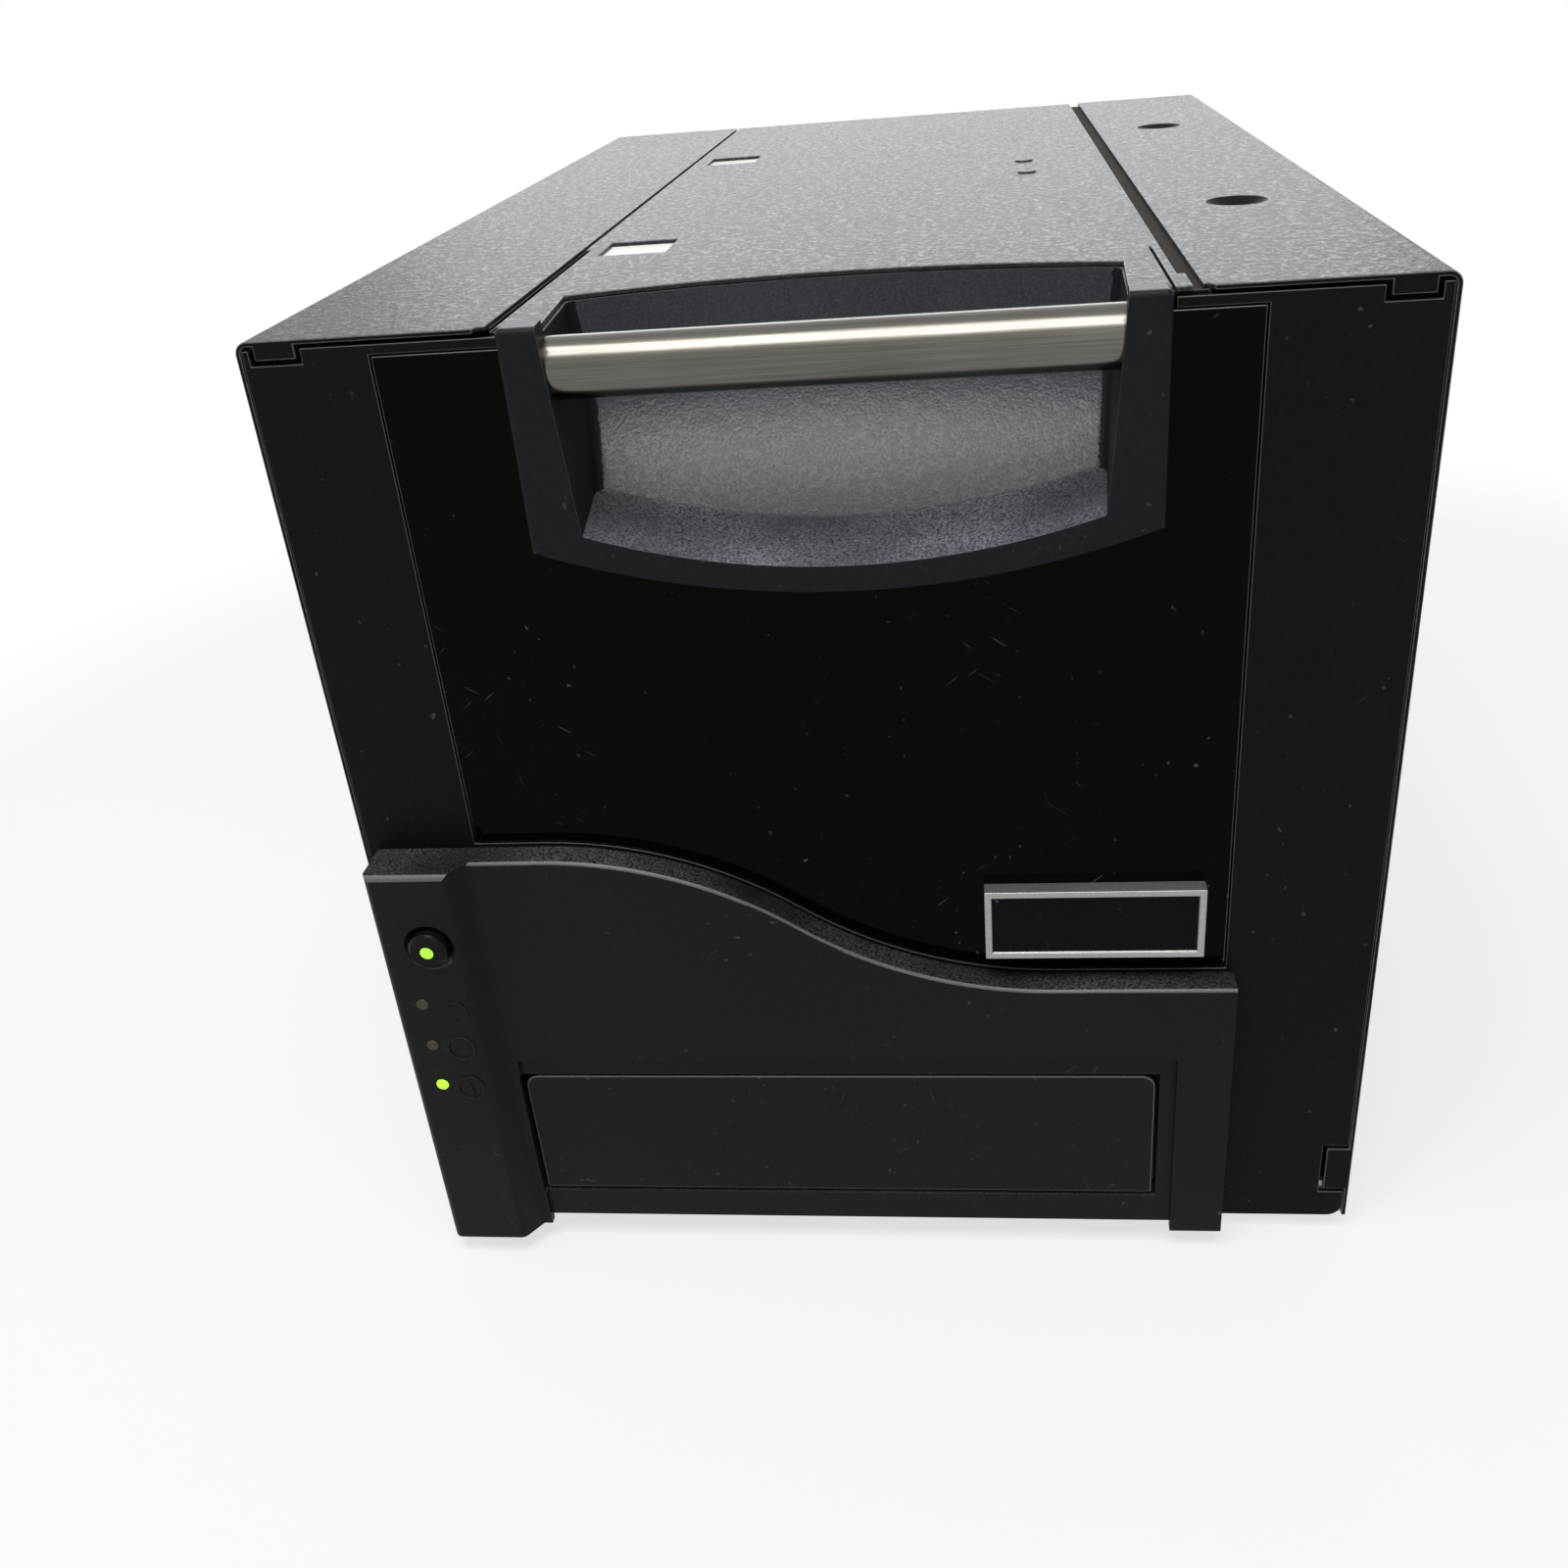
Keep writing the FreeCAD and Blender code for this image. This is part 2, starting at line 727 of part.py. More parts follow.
def front_plate():
    plate = slab((-plate_half, plate_half), (0, frame_sheet), (0, plate_top))

    def low_corners(point, direction):
        at_side = abs(point.x) > plate_half - touch
        return along(direction.y) and at_side and point.z < plate_corner

    plate = rounded(plate, plate_corner, low_corners)
    for limits in ((left_tab_x[1] + tab_side_gap, left_seam - 2 * frame_sheet),
                   (right_seam + 2 * frame_sheet, right_tab_x[0] - tab_side_gap)):
        plate = plate.fuse(slab(limits, (0, plate_flange), (plate_top - frame_sheet, plate_top)))
    plate = plate.cut(prism_y(gloss_opening(gloss_gap), plate_through))
    handle_gap = slab((handle_x[0] - handle_side_gap, handle_x[1] + handle_side_gap),
                      plate_through, (gloss_top - handle_notch, plate_top + over))
    door = slab((face_x[0] - face_gap, face_x[1] + face_gap), plate_through,
                (face_z[0] - face_gap, face_z[1] + face_gap))
    plate = plate.cut(handle_gap).cut(door)
    for notch in front_notches():
        plate = plate.cut(notch)
    for at in status_light_places():
        plate = plate.cut(round_y(at, light_radius + light_hole_margin, plate_through))
    return plate


def rear_panel():
    panel = slab((-plate_half, plate_half), (rear_y, case_depth), (0, plate_top))
    through = past((rear_y, case_depth))
    inlet = slab((inlet_x - inlet_size[0] / 2, inlet_x + inlet_size[0] / 2), through,
                 (inlet_z - inlet_size[1] / 2, inlet_z + inlet_size[1] / 2))
    port = slab((port_x - port_size[0] / 2, port_x + port_size[0] / 2), through,
                (port_z - port_size[1] / 2, port_z + port_size[1] / 2))
    panel = panel.cut(inlet).cut(port)
    rings = []
    radius = fan_bore_radius
    while radius > 2 * grille_pitch:
        hoop = round_y((fan_x, fan_z), radius, through)
        rings.append(hoop.cut(round_y((fan_x, fan_z), radius - grille_slot, through)))
        radius -= grille_pitch
    grille = fuse_all(*rings)
    arm = fan_bore_radius + over
    for turn in grille_turns:
        spoke = slab((-arm, arm), through, (-grille_spoke / 2, grille_spoke / 2))
        spoke.rotate(Vector(0, 0, 0), Vector(0, 1, 0), turn)
        spoke.translate(Vector(fan_x, 0, fan_z))
        grille = grille.cut(spoke)
    panel = panel.cut(grille)
    for row in range(vent_count):
        z = vent_first_z + row * vent_pitch
        panel = panel.cut(slab((inlet_x - vent_slot[0] / 2, inlet_x + vent_slot[0] / 2), through,
                               (z, z + vent_slot[1])))
    return panel


def cutout_path():
    """(X, Y) path round the handle's hollow, seen from above."""
    middle_x = (cutout_rear_x[0] + cutout_rear_x[1]) / 2
    return [(cutout_front_x[0], -over), (cutout_front_x[0], 0.0),
            (cutout_rear_x[0], cutout_side_y),
            ((middle_x, cutout_middle_y), (cutout_rear_x[1], cutout_side_y)),
            (cutout_front_x[1], 0.0), (cutout_front_x[1], -over)]


def window_slabs(z, margin=0.0):
    for step in range(2):
        y0 = window_first_y[0] + step * window_spacing
        y1 = window_first_y[1] + step * window_spacing
        yield slab((window_x[0] - margin, window_x[1] + margin), (y0 - margin, y1 + margin), z)


def top_panel():
    limits = (left_seam + left_seam_gap, right_seam - right_seam_gap)
    sheet = (cover_under, case_height)
    panel = slab(limits, (panel_front, rear_y), sheet)
    tab = slab((limits[1], limits[1] + edge_tab[1]), (panel_front, edge_tab[0]), sheet)
    panel = fuse_all(panel, tab)
    tall = past(sheet)
    panel = panel.cut(slab((limits[0] - over, left_seam + left_front_gap),
                           (0, left_gap_end), tall))
    panel = panel.cut(prism_z(cutout_path(), tall))
    panel = panel.cut(slab(edge_slit_x, (0, edge_slit_end), tall))
    for window in window_slabs(tall):
        panel = panel.cut(window)
    return panel


def window_inserts():
    return Part.makeCompound(list(window_slabs((cover_under - insert_sheet, cover_under),
                                               insert_margin)))


# Lower bezel and its controls

def bezel_outline(shrink):
    """(X, Z) path of the bezel seen from the front, with its walls moved in by shrink."""
    curve = swoop(-shrink, right_to_left=True)
    left, right = bezel_left + shrink, bezel_right - shrink
    low = bezel_foot_z - (over if shrink else 0.0)
    return [(left, low), (right, low), (right, curve[0][1])] + curve + [
        (left, curve[-1][1][1])]


def pillar_section(shrink):
    """(X, Y) path of the left pillar, whose inner side leans back to the main face."""
    left = bezel_left + shrink
    front = shrink - pillar_proud
    return [(left, 0.0), (left, front), (pillar_inner_x - pillar_lean - shrink, front),
            (pillar_inner_x - shrink, -bezel_proud + shrink), (pillar_inner_x - shrink, 0.0)]


def status_light_places():
    for step in range(light_count):
        yield light_x, light_first_z + step * light_spacing


def lower_bezel():
    body = prism_y(bezel_outline(0.0), (-bezel_proud, 0))
    pillar = prism_z(pillar_section(0.0), (bezel_foot_z, swoop_high))
    body = fuse_all(body, pillar)

    def pillar_edges(point, direction):
        at_front = abs(point.y + pillar_proud) < touch
        return at_front and (along(direction.z) or point.z > swoop_high - over)

    def top_edge(point, direction):
        at_main_face = abs(point.y + bezel_proud) < touch
        return at_main_face and point.z > swoop_low - over and not along(direction.z)

    body = rounded(body, pillar_edge_radius, pillar_edges)
    body = rounded(body, bezel_edge_radius, top_edge)
    below = bezel_foot_z - over
    through = past((-bezel_proud, 0))
    hollow = prism_y(bezel_outline(bezel_wall), (bezel_wall - bezel_proud, over))
    hollow = hollow.fuse(prism_z(pillar_section(bezel_wall), (below, swoop_high - bezel_wall)))
    step = slab(surround_x, (through[0], surround_step - bezel_proud), (below, surround_top))
    strip = slab(surround_x, through, (below, strip_foot_z))
    door = slab((face_x[0] - face_gap, face_x[1] + face_gap), through,
                (face_z[0] - face_gap, face_z[1] + face_gap))
    body = body.cut(hollow).cut(step).cut(strip).cut(door)
    front_wall = past((-pillar_proud, bezel_wall - pillar_proud))
    at = (button_x, button_z)
    body = body.cut(round_y(at, button_radius + button_clearance, front_wall))
    flare = Part.makeCone(button_flare_radius, button_radius + button_clearance,
                          button_flare_radius - button_radius - button_clearance,
                          Vector(button_x, -pillar_proud, button_z), Vector(0, 1, 0))
    body = body.cut(flare)
    for place in status_light_places():
        body = body.cut(round_y(place, light_radius + light_clearance, front_wall))
    return body


board_front = board_setback - pillar_proud
board_span_x = (bezel_left + bezel_wall + board_side_gaps[0],
                pillar_inner_x - bezel_wall - board_side_gaps[1])
board_span_z = (light_first_z - board_ends[0], button_z + board_ends[1])


def panel_board():
    """The control board behind the pillar, with its push switch and two spacer feet."""
    board = slab(board_span_x, (board_front, board_front + board_sheet), board_span_z)
    switch = slab((button_x - switch_half, button_x + switch_half),
                  (board_front - switch_height, board_front),
                  (button_z - switch_half, button_z + switch_half))
    board = board.fuse(switch)
    for z in (board_span_z[0] + board_spacer_inset, board_span_z[1] - board_spacer_inset):
        board = board.fuse(round_y((button_x, z), board_spacer_radius,
                                   (board_front + board_sheet, 0)))
    return board.removeSplitter()


def status_lights():
    pipes = [round_y(at, light_radius, (-pillar_proud - light_proud, board_front))
             for at in status_light_places()]
    return Part.makeCompound(pipes)


def power_button():
    at = (button_x, button_z)
    crown = -pillar_proud - button_proud
    cap_rear = -pillar_proud + bezel_wall + lug_gap
    cap = round_y(at, button_radius, (crown, cap_rear))
    dome = Part.makeCone(button_radius - button_dome, button_radius, button_dome,
                         Vector(button_x, crown - button_dome, button_z), Vector(0, 1, 0))
    width, reach = button_lug
    lugs = slab((button_x - width, button_x + width), (cap_rear - lug_thickness, cap_rear),
                (button_z - reach, button_z + reach))
    stem_end = board_front - switch_height - button_travel - switch_gap
    stem = round_y(at, button_stem_radius, (cap_rear, stem_end))
    shape = fuse_all(cap, dome, lugs, stem)
    return shape.cut(round_y(at, lens_radius,
                             (crown - button_dome - over, crown + lens_depth)))


def button_lens():
    crown = -pillar_proud - button_proud
    return round_y((button_x, button_z), lens_radius, (crown - button_dome + lens_rise,
                                                       crown + lens_depth))


# Drawer

def tub_path(grow):
    """(X, Z) path of the tub behind the handle's rim, as high as the sheet above allows."""
    low_side = handle_corner_z + tub_wall
    low_mid = handle_low_z + tub_wall
    left = cutout_rear_x[0] - tub_wall - grow
    right = cutout_rear_x[1] + tub_wall + grow
    top = cover_under - tub_top_gap + grow
    return [(left, top), (left, low_side - grow),
            ((handle_middle, low_mid - grow), (right, low_side - grow)), (right, top)]


def drawer_front():
    panel = prism_y(gloss_opening(0.0), (0, gloss_thickness))
    tub = prism_y(tub_path(tub_gap), past((0, gloss_thickness)))
    panel = panel.cut(tub)

    def low_corners(point, direction):
        at_ends = min(abs(point.x - gloss_x[0]), abs(point.x - gloss_x[1])) < touch
        return along(direction.y) and at_ends and point.z < gloss_top - over

    return rounded(panel, gloss_corner, low_corners)


def handle_front_path():
    return [(handle_x[0], handle_top), (handle_x[0], handle_corner_z),
            ((handle_middle, handle_low_z), (handle_x[1], handle_corner_z)),
            (handle_x[1], handle_top)]


def mouth_section(y):
    """The hollow's outline at one depth: its floor rises and its sides part going back."""
    back = y + handle_proud
    left, right = handle_x[0] - mouth_spread * back, handle_x[1] + mouth_spread * back
    rise = floor_slope * back
    top = handle_top + hollow_rise
    path = [(left + arm_top_width, top), (left + arm_low_width, rim_corner_z + rise),
            ((handle_middle, rim_low_z + rise), (right - arm_low_width, rim_corner_z + rise)),
            (right - arm_top_width, top), (left + arm_top_width, top)]
    return Part.Wire(edges_along(path, lambda x, z: Vector(x, y, z)))


def scoop_back(height, rear_y, foot_height):
    """How far back the scoop reaches at a height: upright at first, then curving forward."""
    rise = max(scoop_slope_start - height, 0) / (scoop_slope_start - foot_height)
    return rear_y - (rear_y - scoop_foot_y) * rise ** hollow_power


def scoop_level(height):
    """A level outline of the hollow: straight in front, an arc at the back."""
    middle = scoop_back(height, cutout_middle_y, scoop_middle_foot)
    side = scoop_back(height, cutout_side_y, scoop_side_foot)
    inset = mouth_step - scoop_draft * height
    left, right = cutout_front_x[0] + inset, cutout_front_x[1] - inset
    rear_left, rear_right = cutout_rear_x[0] + inset, cutout_rear_x[1] - inset
    front = -handle_proud - over
    path = [(left, front), (rear_left, side), (((rear_left + rear_right) / 2, middle), (rear_right, side)),
            (right, front), (left, front)]
    return Part.Wire(edges_along(path, lambda x, y: Vector(x, y, case_height + height)))


def handle_hollow():
    """The finger space: its back curves forward to a crease at the floor."""
    step = (scoop_floor - scoop_slope_start) / (scoop_levels - 1)
    curving = [scoop_level(scoop_slope_start + index * step) for index in range(scoop_levels)]
    upright = [scoop_level(height) for height in (scoop_slope_start, scoop_top)]
    scoop = Part.makeLoft(curving, True, False).fuse(Part.makeLoft(upright, True, True))
    ends = past((-handle_proud, cutout_middle_y))
    mouth = Part.makeLoft([mouth_section(y) for y in ends], True, True)
    hollow = mouth.common(scoop)

    def back_edges(point, direction):
        return point.y > crease_start_y and point.z < case_height + hollow_rise

    return rounded(hollow, crease_radius, back_edges)


def tub_relief(tub_rear):
    """The block taken off the tub's rear, below the slope."""
    foot_y, foot_z = relief_foot
    top, foot = case_height + relief_top, case_height + foot_z
    path = [(tub_rear, top), (tub_rear + over, top), (tub_rear + over, foot), (foot_y, foot)]
    return prism_x(path, past((cutout_rear_x[0] - tub_wall, cutout_rear_x[1] + tub_wall)))


def handle_housing():
    rim = prism_y(handle_front_path(), (-handle_proud, 0))
    tub_rear = cutout_middle_y + tub_wall
    tub = prism_y(tub_path(0.0), (0, tub_rear)).cut(tub_relief(tub_rear))
    shape = fuse_all(rim, tub)

    def outer_edges(point, direction):
        at_face = abs(point.y + handle_proud) < touch
        on_top = abs(point.z - handle_top) < touch and along(direction.y)
        return at_face or on_top

    shape = rounded(shape, rim_round, outer_edges)
    return shape.cut(handle_hollow()).cut(handle_bar())


def handle_bar():
    """The bar between the arms. Its ends sit in the arms."""
    left = handle_x[0] + arm_top_width - bar_seat
    right = handle_x[1] - arm_top_width + bar_seat
    return round_x((bar_y, bar_z), bar_radius, (left, right))


def badge():
    plate = slab(badge_x, (-badge_thickness, 0), badge_z)
    inner_x = (badge_x[0] + badge_rim, badge_x[1] - badge_rim)
    inner_z = (badge_z[0] + badge_rim, badge_z[1] - badge_rim)
    face = -badge_thickness
    return plate.cut(slab(inner_x, (face - over, face + badge_recess), inner_z))


def spool_holes():
    return (film_supply_at, film_takeup_at, ribbon_supply_at, ribbon_takeup_at,
            platen_at, heated_at, guide_at, head_pivot)


def drawer_chassis():
    """Floor, front sheet and rear flange, folded from one sheet."""
    width = (drawer_left, drawer_right)
    floor = slab(width, (chassis_front, drawer_rear_y),
                 (drawer_floor_z, drawer_floor_z + frame_sheet))
    rear = slab(width, (drawer_rear_y - frame_sheet, drawer_rear_y),
                (drawer_floor_z, drawer_low_wall_top))
    left, right = gloss_x[0] + front_sheet_inset, gloss_x[1] - front_sheet_inset
    curve = swoop(swoop_gap + front_sheet_inset)
    top = gloss_top - front_sheet_drop
    outline = [(left, top), (left, curve[0][1])] + curve + [(right, curve[-1][1][1]), (right, top)]
    sheet = (chassis_front, chassis_front + frame_sheet)
    front = prism_y(outline, sheet).cut(prism_y(tub_path(tub_gap), past(sheet)))
    window_y = (heated_at[0] - heated_radius - heated_window_gap,
                heated_at[0] + heated_radius + heated_window_gap)
    window = slab((web_left - heated_window_side, web_right + heated_window_side), window_y,
                  past((drawer_floor_z, drawer_floor_z + frame_sheet)))
    return fuse_all(floor, rear, front).cut(window)


def drawer_wall(outer, inward):
    """A side of the drawer, lower at the front to pass under the handle's tub."""
    tub_rear = cutout_middle_y + tub_wall + tub_clearance
    floor_top = drawer_floor_z + frame_sheet
    front = chassis_front + frame_sheet
    rear = drawer_rear_y - frame_sheet
    path = [(front, floor_top), (rear, floor_top), (rear, drawer_wall_top),
            (tub_rear + wall_bevel, drawer_wall_top), (tub_rear, drawer_wall_top - wall_bevel),
            (tub_rear, drawer_low_wall_top), (front, drawer_low_wall_top)]
    sheet = sorted((outer, outer + inward * frame_sheet))
    wall = prism_x(path, sheet)
    for at in spool_holes():
        wall = wall.cut(round_x(at, shaft_radius + shaft_clearance, past(sheet)))
    return wall


def drawer_left_wall():
    wall = drawer_wall(drawer_left, 1)
    for at in (film_motor_at(), ribbon_motor_at()):
        wall = wall.cut(round_x(at, motor_shaft_radius + shaft_clearance,
                                past((drawer_left, drawer_left + frame_sheet))))
    return wall


def drawer_right_wall():
    return drawer_wall(drawer_right, -1)


def outer_rails():
    z = (rail_low_z, rail_low_z + rail_height)
    y = (rail_front_y, outer_rail_rear)
    reach = rail_room - rail_sheet - rail_slip
    return Part.makeCompound([channel(left_wall_in, left_wall_in + reach, y, z, rail_sheet),
                              channel(right_wall_in, right_wall_in - reach, y, z, rail_sheet)])


def inner_rails():
    step = rail_sheet + rail_slip
    z = (rail_low_z + step, rail_low_z + rail_height - step)
    y = (rail_front_y, inner_rail_rear)
    reach = rail_room - step
    return Part.makeCompound([channel(drawer_left, drawer_left - reach, y, z, rail_sheet),
                              channel(drawer_right, drawer_right + reach, y, z, rail_sheet)])


def shaft_span():
    return (drawer_left + shaft_inset, drawer_right - shaft_inset)


def inner_span():
    return (drawer_left + frame_sheet, drawer_right - frame_sheet)


def spindle(at, web_radius):
    """A spool: its shaft, its core and a disc at each end of the web."""
    shaft = round_x(at, shaft_radius, shaft_span())
    core = round_x(at, core_radius, (web_left - core_end, web_right + core_end))
    left_disc = round_x(at, web_radius + flange_rim, (web_left - core_end - flange_sheet,
                                                      web_left - core_end))
    right_disc = round_x(at, web_radius + flange_rim, (web_right + core_end,
                                                       web_right + core_end + flange_sheet))
    return fuse_all(shaft, core, left_disc, right_disc)


def wound_web(at, radius):
    roll = round_x(at, radius, (web_left, web_right))
    return roll.cut(round_x(at, core_radius, past((web_left, web_right))))


def gear_span():
    right = drawer_left - gear_wall_gap
    return (right - gear_face, right)


def geared_spindle(at, web_radius, teeth, motor_angle):
    shape = spindle(at, web_radius)
    span = gear_span()
    link = round_x(at, shaft_radius, (span[0] - link_end, drawer_left))
    return fuse_all(shape, link, gear(teeth, at, math.radians(motor_angle), span))


def motor_place(at, teeth, angle):
    distance = (teeth + pinion_teeth) * gear_module / 2
    y, z = polar(distance, math.radians(angle))
    return at[0] + y, at[1] + z


def film_motor_at():
    return motor_place(film_takeup_at, film_gear_teeth, film_motor_angle)


def ribbon_motor_at():
    return motor_place(ribbon_takeup_at, ribbon_gear_teeth, ribbon_motor_angle)


def drive_pinion(at, motor_angle):
    """A motor's pinion and its shaft, with a gap of the teeth turned to the big gear."""
    gap_angle = math.radians(motor_angle + 180) + math.pi / pinion_teeth
    wheel = gear(pinion_teeth, at, gap_angle, gear_span())
    start = gear_span()[0]
    shaft = round_x(at, motor_shaft_radius, (start, inner_span()[0] + motor_length / 2))
    return fuse_all(wheel, shaft)


def roll_motors():
    motors = []
    start = inner_span()[0]
    for at in (film_motor_at(), ribbon_motor_at()):
        motor = round_x(at, motor_radius, (start, start + motor_length))
        bore = round_x(at, motor_shaft_radius + shaft_clearance,
                       past((start, start + motor_length / 2)))
        motors.append(motor.cut(bore))
    return Part.makeCompound(motors)


def roller(at, radius):
    shaft = round_x(at, shaft_radius, shaft_span())
    return fuse_all(shaft, round_x(at, radius, (web_left - sleeve_overhang,
                                                web_right + sleeve_overhang)))


head_y = (platen_at[0] - head_thickness / 2, platen_at[0] + head_thickness / 2)
head_low = platen_at[1] + platen_radius + head_gap
head_top = head_low + head_height


def printhead():
    body = slab((web_left, web_right), head_y, (head_low + head_lip, head_top))
    lip = slab((web_left, web_right), (platen_at[0] - head_lip, platen_at[0] + head_lip),
               (head_low, head_low + head_lip))
    return fuse_all(body, lip)


def head_carrier():
    """Two arms on a pivot shaft, joined by a finned heat sink on top of the printhead."""
    span = inner_span()
    gap = head_side_gap
    base_top = head_top + head_sink_base
    shape = slab((span[0] + gap, span[1] - gap), head_y, (head_top, base_top))
    fin = head_thickness / (2 * head_fin_count - 1)
    for step in range(head_fin_count):
        y = head_y[0] + 2 * step * fin
        shape = shape.fuse(slab((web_left, web_right), (y, y + fin),
                                (base_top, base_top + head_fin_height)))
    pivot_y, pivot_z = head_pivot
    eye_y, eye_z = head_eye
    arm_path = [(head_y[0], head_low + head_arm_low[0]), (head_y[0], base_top),
                (pivot_y + eye_y, pivot_z + eye_z), (pivot_y + eye_y, pivot_z - eye_z),
                (pivot_y, pivot_z - eye_z), (head_y[1], head_low + head_arm_low[1])]
    for x in (span[0] + gap, span[1] - gap - head_arm_sheet):
        shape = shape.fuse(prism_x(arm_path, (x, x + head_arm_sheet)))
    shape = shape.fuse(round_x(head_pivot, shaft_radius, shaft_span()))
    return shape.removeSplitter()


# Disc tray

tray_x = (left_wall_in + guide_sheet + guide_slip, face_x[1])
right_guide_web = right_wall_in - guide_slip - tray_x[1]


def tray_guides():
    z = (tray_low_z - guide_slip - guide_sheet, tray_top + guide_slip + guide_sheet)
    y = (guide_front_y, guide_rear_y)
    left = channel(left_wall_in, left_wall_in + guide_depth, y, z, guide_sheet)
    tips = right_wall_in - right_guide_web + guide_sheet - guide_depth
    right = channel(right_wall_in, tips, y, z, guide_sheet, right_guide_web)
    return Part.makeCompound([left, right])


rack_x = (tray_x[1] - tray_arm_width + rack_inset,
          tray_x[1] - tray_arm_width + rack_inset + rack_width)
face_y = (face_setback + surround_step - bezel_proud,
          face_setback + surround_step - bezel_proud + face_thickness)


def rack_teeth():
    """Straight-sided teeth under the right arm, with a gap over the pinion's axis."""
    root_z = rack_pitch_z + root_depth * gear_module
    tip_z = rack_pitch_z - tip_height * gear_module
    slope = math.tan(pressure_angle)
    half_pitch = pitch / 4 - backlash / 4
    first = math.ceil((rack_start_y - pinion_y) / pitch)
    last = math.floor((rack_end_y - pinion_y) / pitch)
    points = [(rack_start_y, tray_low_z), (rack_start_y, root_z)]
    for step in range(first, last):
        middle = pinion_y + (step + 0.5) * pitch
        root_half = half_pitch + (root_z - rack_pitch_z) * slope
        tip_half = half_pitch - (rack_pitch_z - tip_z) * slope
        points += [(middle - root_half, root_z), (middle - tip_half, tip_z),
                   (middle + tip_half, tip_z), (middle + root_half, root_z)]
    points += [(rack_end_y, root_z), (rack_end_y, tray_low_z)]
    return prism_x(points, rack_x)


def disc_tray():
    """A plate with the disc's well and an open slot behind it, and an arm at each side."""
    z = (tray_low_z, tray_top)
    front = face_y[1]
    plate = slab(tray_x, (front, tray_plate_rear), z)
    left_arm = slab((tray_x[0], tray_x[0] + tray_arm_width), (front, tray_arm_rear), z)
    right_arm = slab((tray_x[1] - tray_arm_width, tray_x[1]), (front, tray_arm_rear), z)
    shape = fuse_all(plate, left_arm, right_arm)
    centre = (disc_centre_x, disc_centre_y)
    well = round_z(centre, disc_radius + disc_clearance, (tray_top - well_depth, tray_top + over))
    opening = round_z(centre, disc_radius - well_ledge, (tray_low_z - over, tray_top))
    slot_x = (disc_centre_x - tray_slot_width / 2, disc_centre_x + tray_slot_width / 2)
    slot = slab(slot_x, (disc_centre_y, tray_plate_rear + over), past(z))
    shape = shape.cut(well).cut(opening).cut(slot)
    return fuse_all(shape, rack_teeth())


def tray_face():
    face = slab(face_x, face_y, face_z)

    def top_corners(point, direction):
        return along(direction.y) and point.z > face_z[1] - touch

    return rounded(face, face_corner, top_corners)


def tray_pinion():
    at = (pinion_y, pinion_z)
    width = (rack_x[0] - pinion_overhang, rack_x[1] + pinion_overhang)
    wheel = gear(pinion_teeth, at, math.pi / 2, width)
    boss_end = right_wall_in + frame_sheet
    boss = round_x(at, pinion_boss_radius, (width[1], boss_end - pinion_boss_gap))
    shaft = round_x(at, motor_shaft_radius, (width[0], boss_end + motor_length / 2))
    return fuse_all(wheel, boss, shaft)


def drive_motors():
    """The tray's motor in the right bay and the shuttle's motor at the back of the base."""
    start = right_wall_in + frame_sheet
    tray_motor = round_x((pinion_y, pinion_z), motor_block / 2, (start, start + motor_length))
    tray_motor = tray_motor.cut(round_x((pinion_y, pinion_z),
                                        motor_shaft_radius + shaft_clearance,
                                        past((start, start + motor_length / 2))))
    y0 = rod_rear_y
    low = frame_sheet
    shuttle_motor = slab((disc_centre_x - motor_block / 2, disc_centre_x + motor_block / 2),
                         (y0, rear_y - frame_sheet), (low, low + motor_block))
    shuttle_motor = shuttle_motor.cut(round_y((disc_centre_x, rod_z),
                                              motor_shaft_radius + shaft_clearance,
                                              past((y0, y0 + motor_length / 3))))
    return Part.makeCompound([tray_motor, shuttle_motor])


# Shuttle and lift

rod_x = (disc_centre_x - rod_spread / 2, disc_centre_x + rod_spread / 2)
rod_span = (rod_front_y, rod_rear_y)


def shuttle_rods():
    return Part.makeCompound([round_y((x, rod_z), rod_radius, rod_span) for x in rod_x])


def rod_supports():
    bars = []
    for y in (rod_front_y, rod_rear_y - support_thickness):
        span = (y, y + support_thickness)
        bar = slab((rod_x[0] - support_margin, rod_x[1] + support_margin), span,
                   (frame_sheet, support_height))
        for x in rod_x:
            bar = bar.cut(round_y((x, rod_z), rod_radius, past(span)))
        bar = bar.cut(round_y((disc_centre_x, rod_z), screw_radius + rod_clearance, past(span)))
        bars.append(bar)
    return Part.makeCompound(bars)


def shuttle_screw():
    at = (disc_centre_x, rod_z)
    screw = round_y(at, screw_radius, (rod_front_y, rod_rear_y - screw_motor_gap))
    return fuse_all(screw, round_y(at, motor_shaft_radius,
                                   (rod_front_y, rod_rear_y + motor_length / 3)))


post_x = (disc_centre_x - post_spread / 2, disc_centre_x + post_spread / 2)


def shuttle_carriage():
    """The block that runs on the two rods, with the mast and the posts that guide the lift."""
    base = slab((rod_x[0] - support_margin, rod_x[1] + support_margin), carriage_y, carriage_z)
    for x in rod_x:
        base = base.cut(round_y((x, rod_z), rod_radius + rod_clearance,
                                past(carriage_y)))
    base = base.cut(round_y((disc_centre_x, rod_z), screw_radius + rod_clearance,
                            past(carriage_y)))
    mast_x = (disc_centre_x - mast_width / 2, disc_centre_x + mast_width / 2)
    mast = slab(mast_x, mast_y, (carriage_z[1], mast_top))
    bracket_z = (mast_top - bracket_sheet, mast_top)
    bracket = slab(mast_x, (post_y - bracket_reach, mast_y[0]), bracket_z)
    bracket = bracket.cut(round_z((disc_centre_x, post_y), screw_radius + rod_clearance,
                                  past(bracket_z)))
    shape = fuse_all(base, mast, bracket)
    for x in post_x:
        post = round_z((x, post_y), post_radius, (carriage_z[1], mast_top - bracket_sheet))
        shape = shape.fuse(post)
    return shape.removeSplitter()


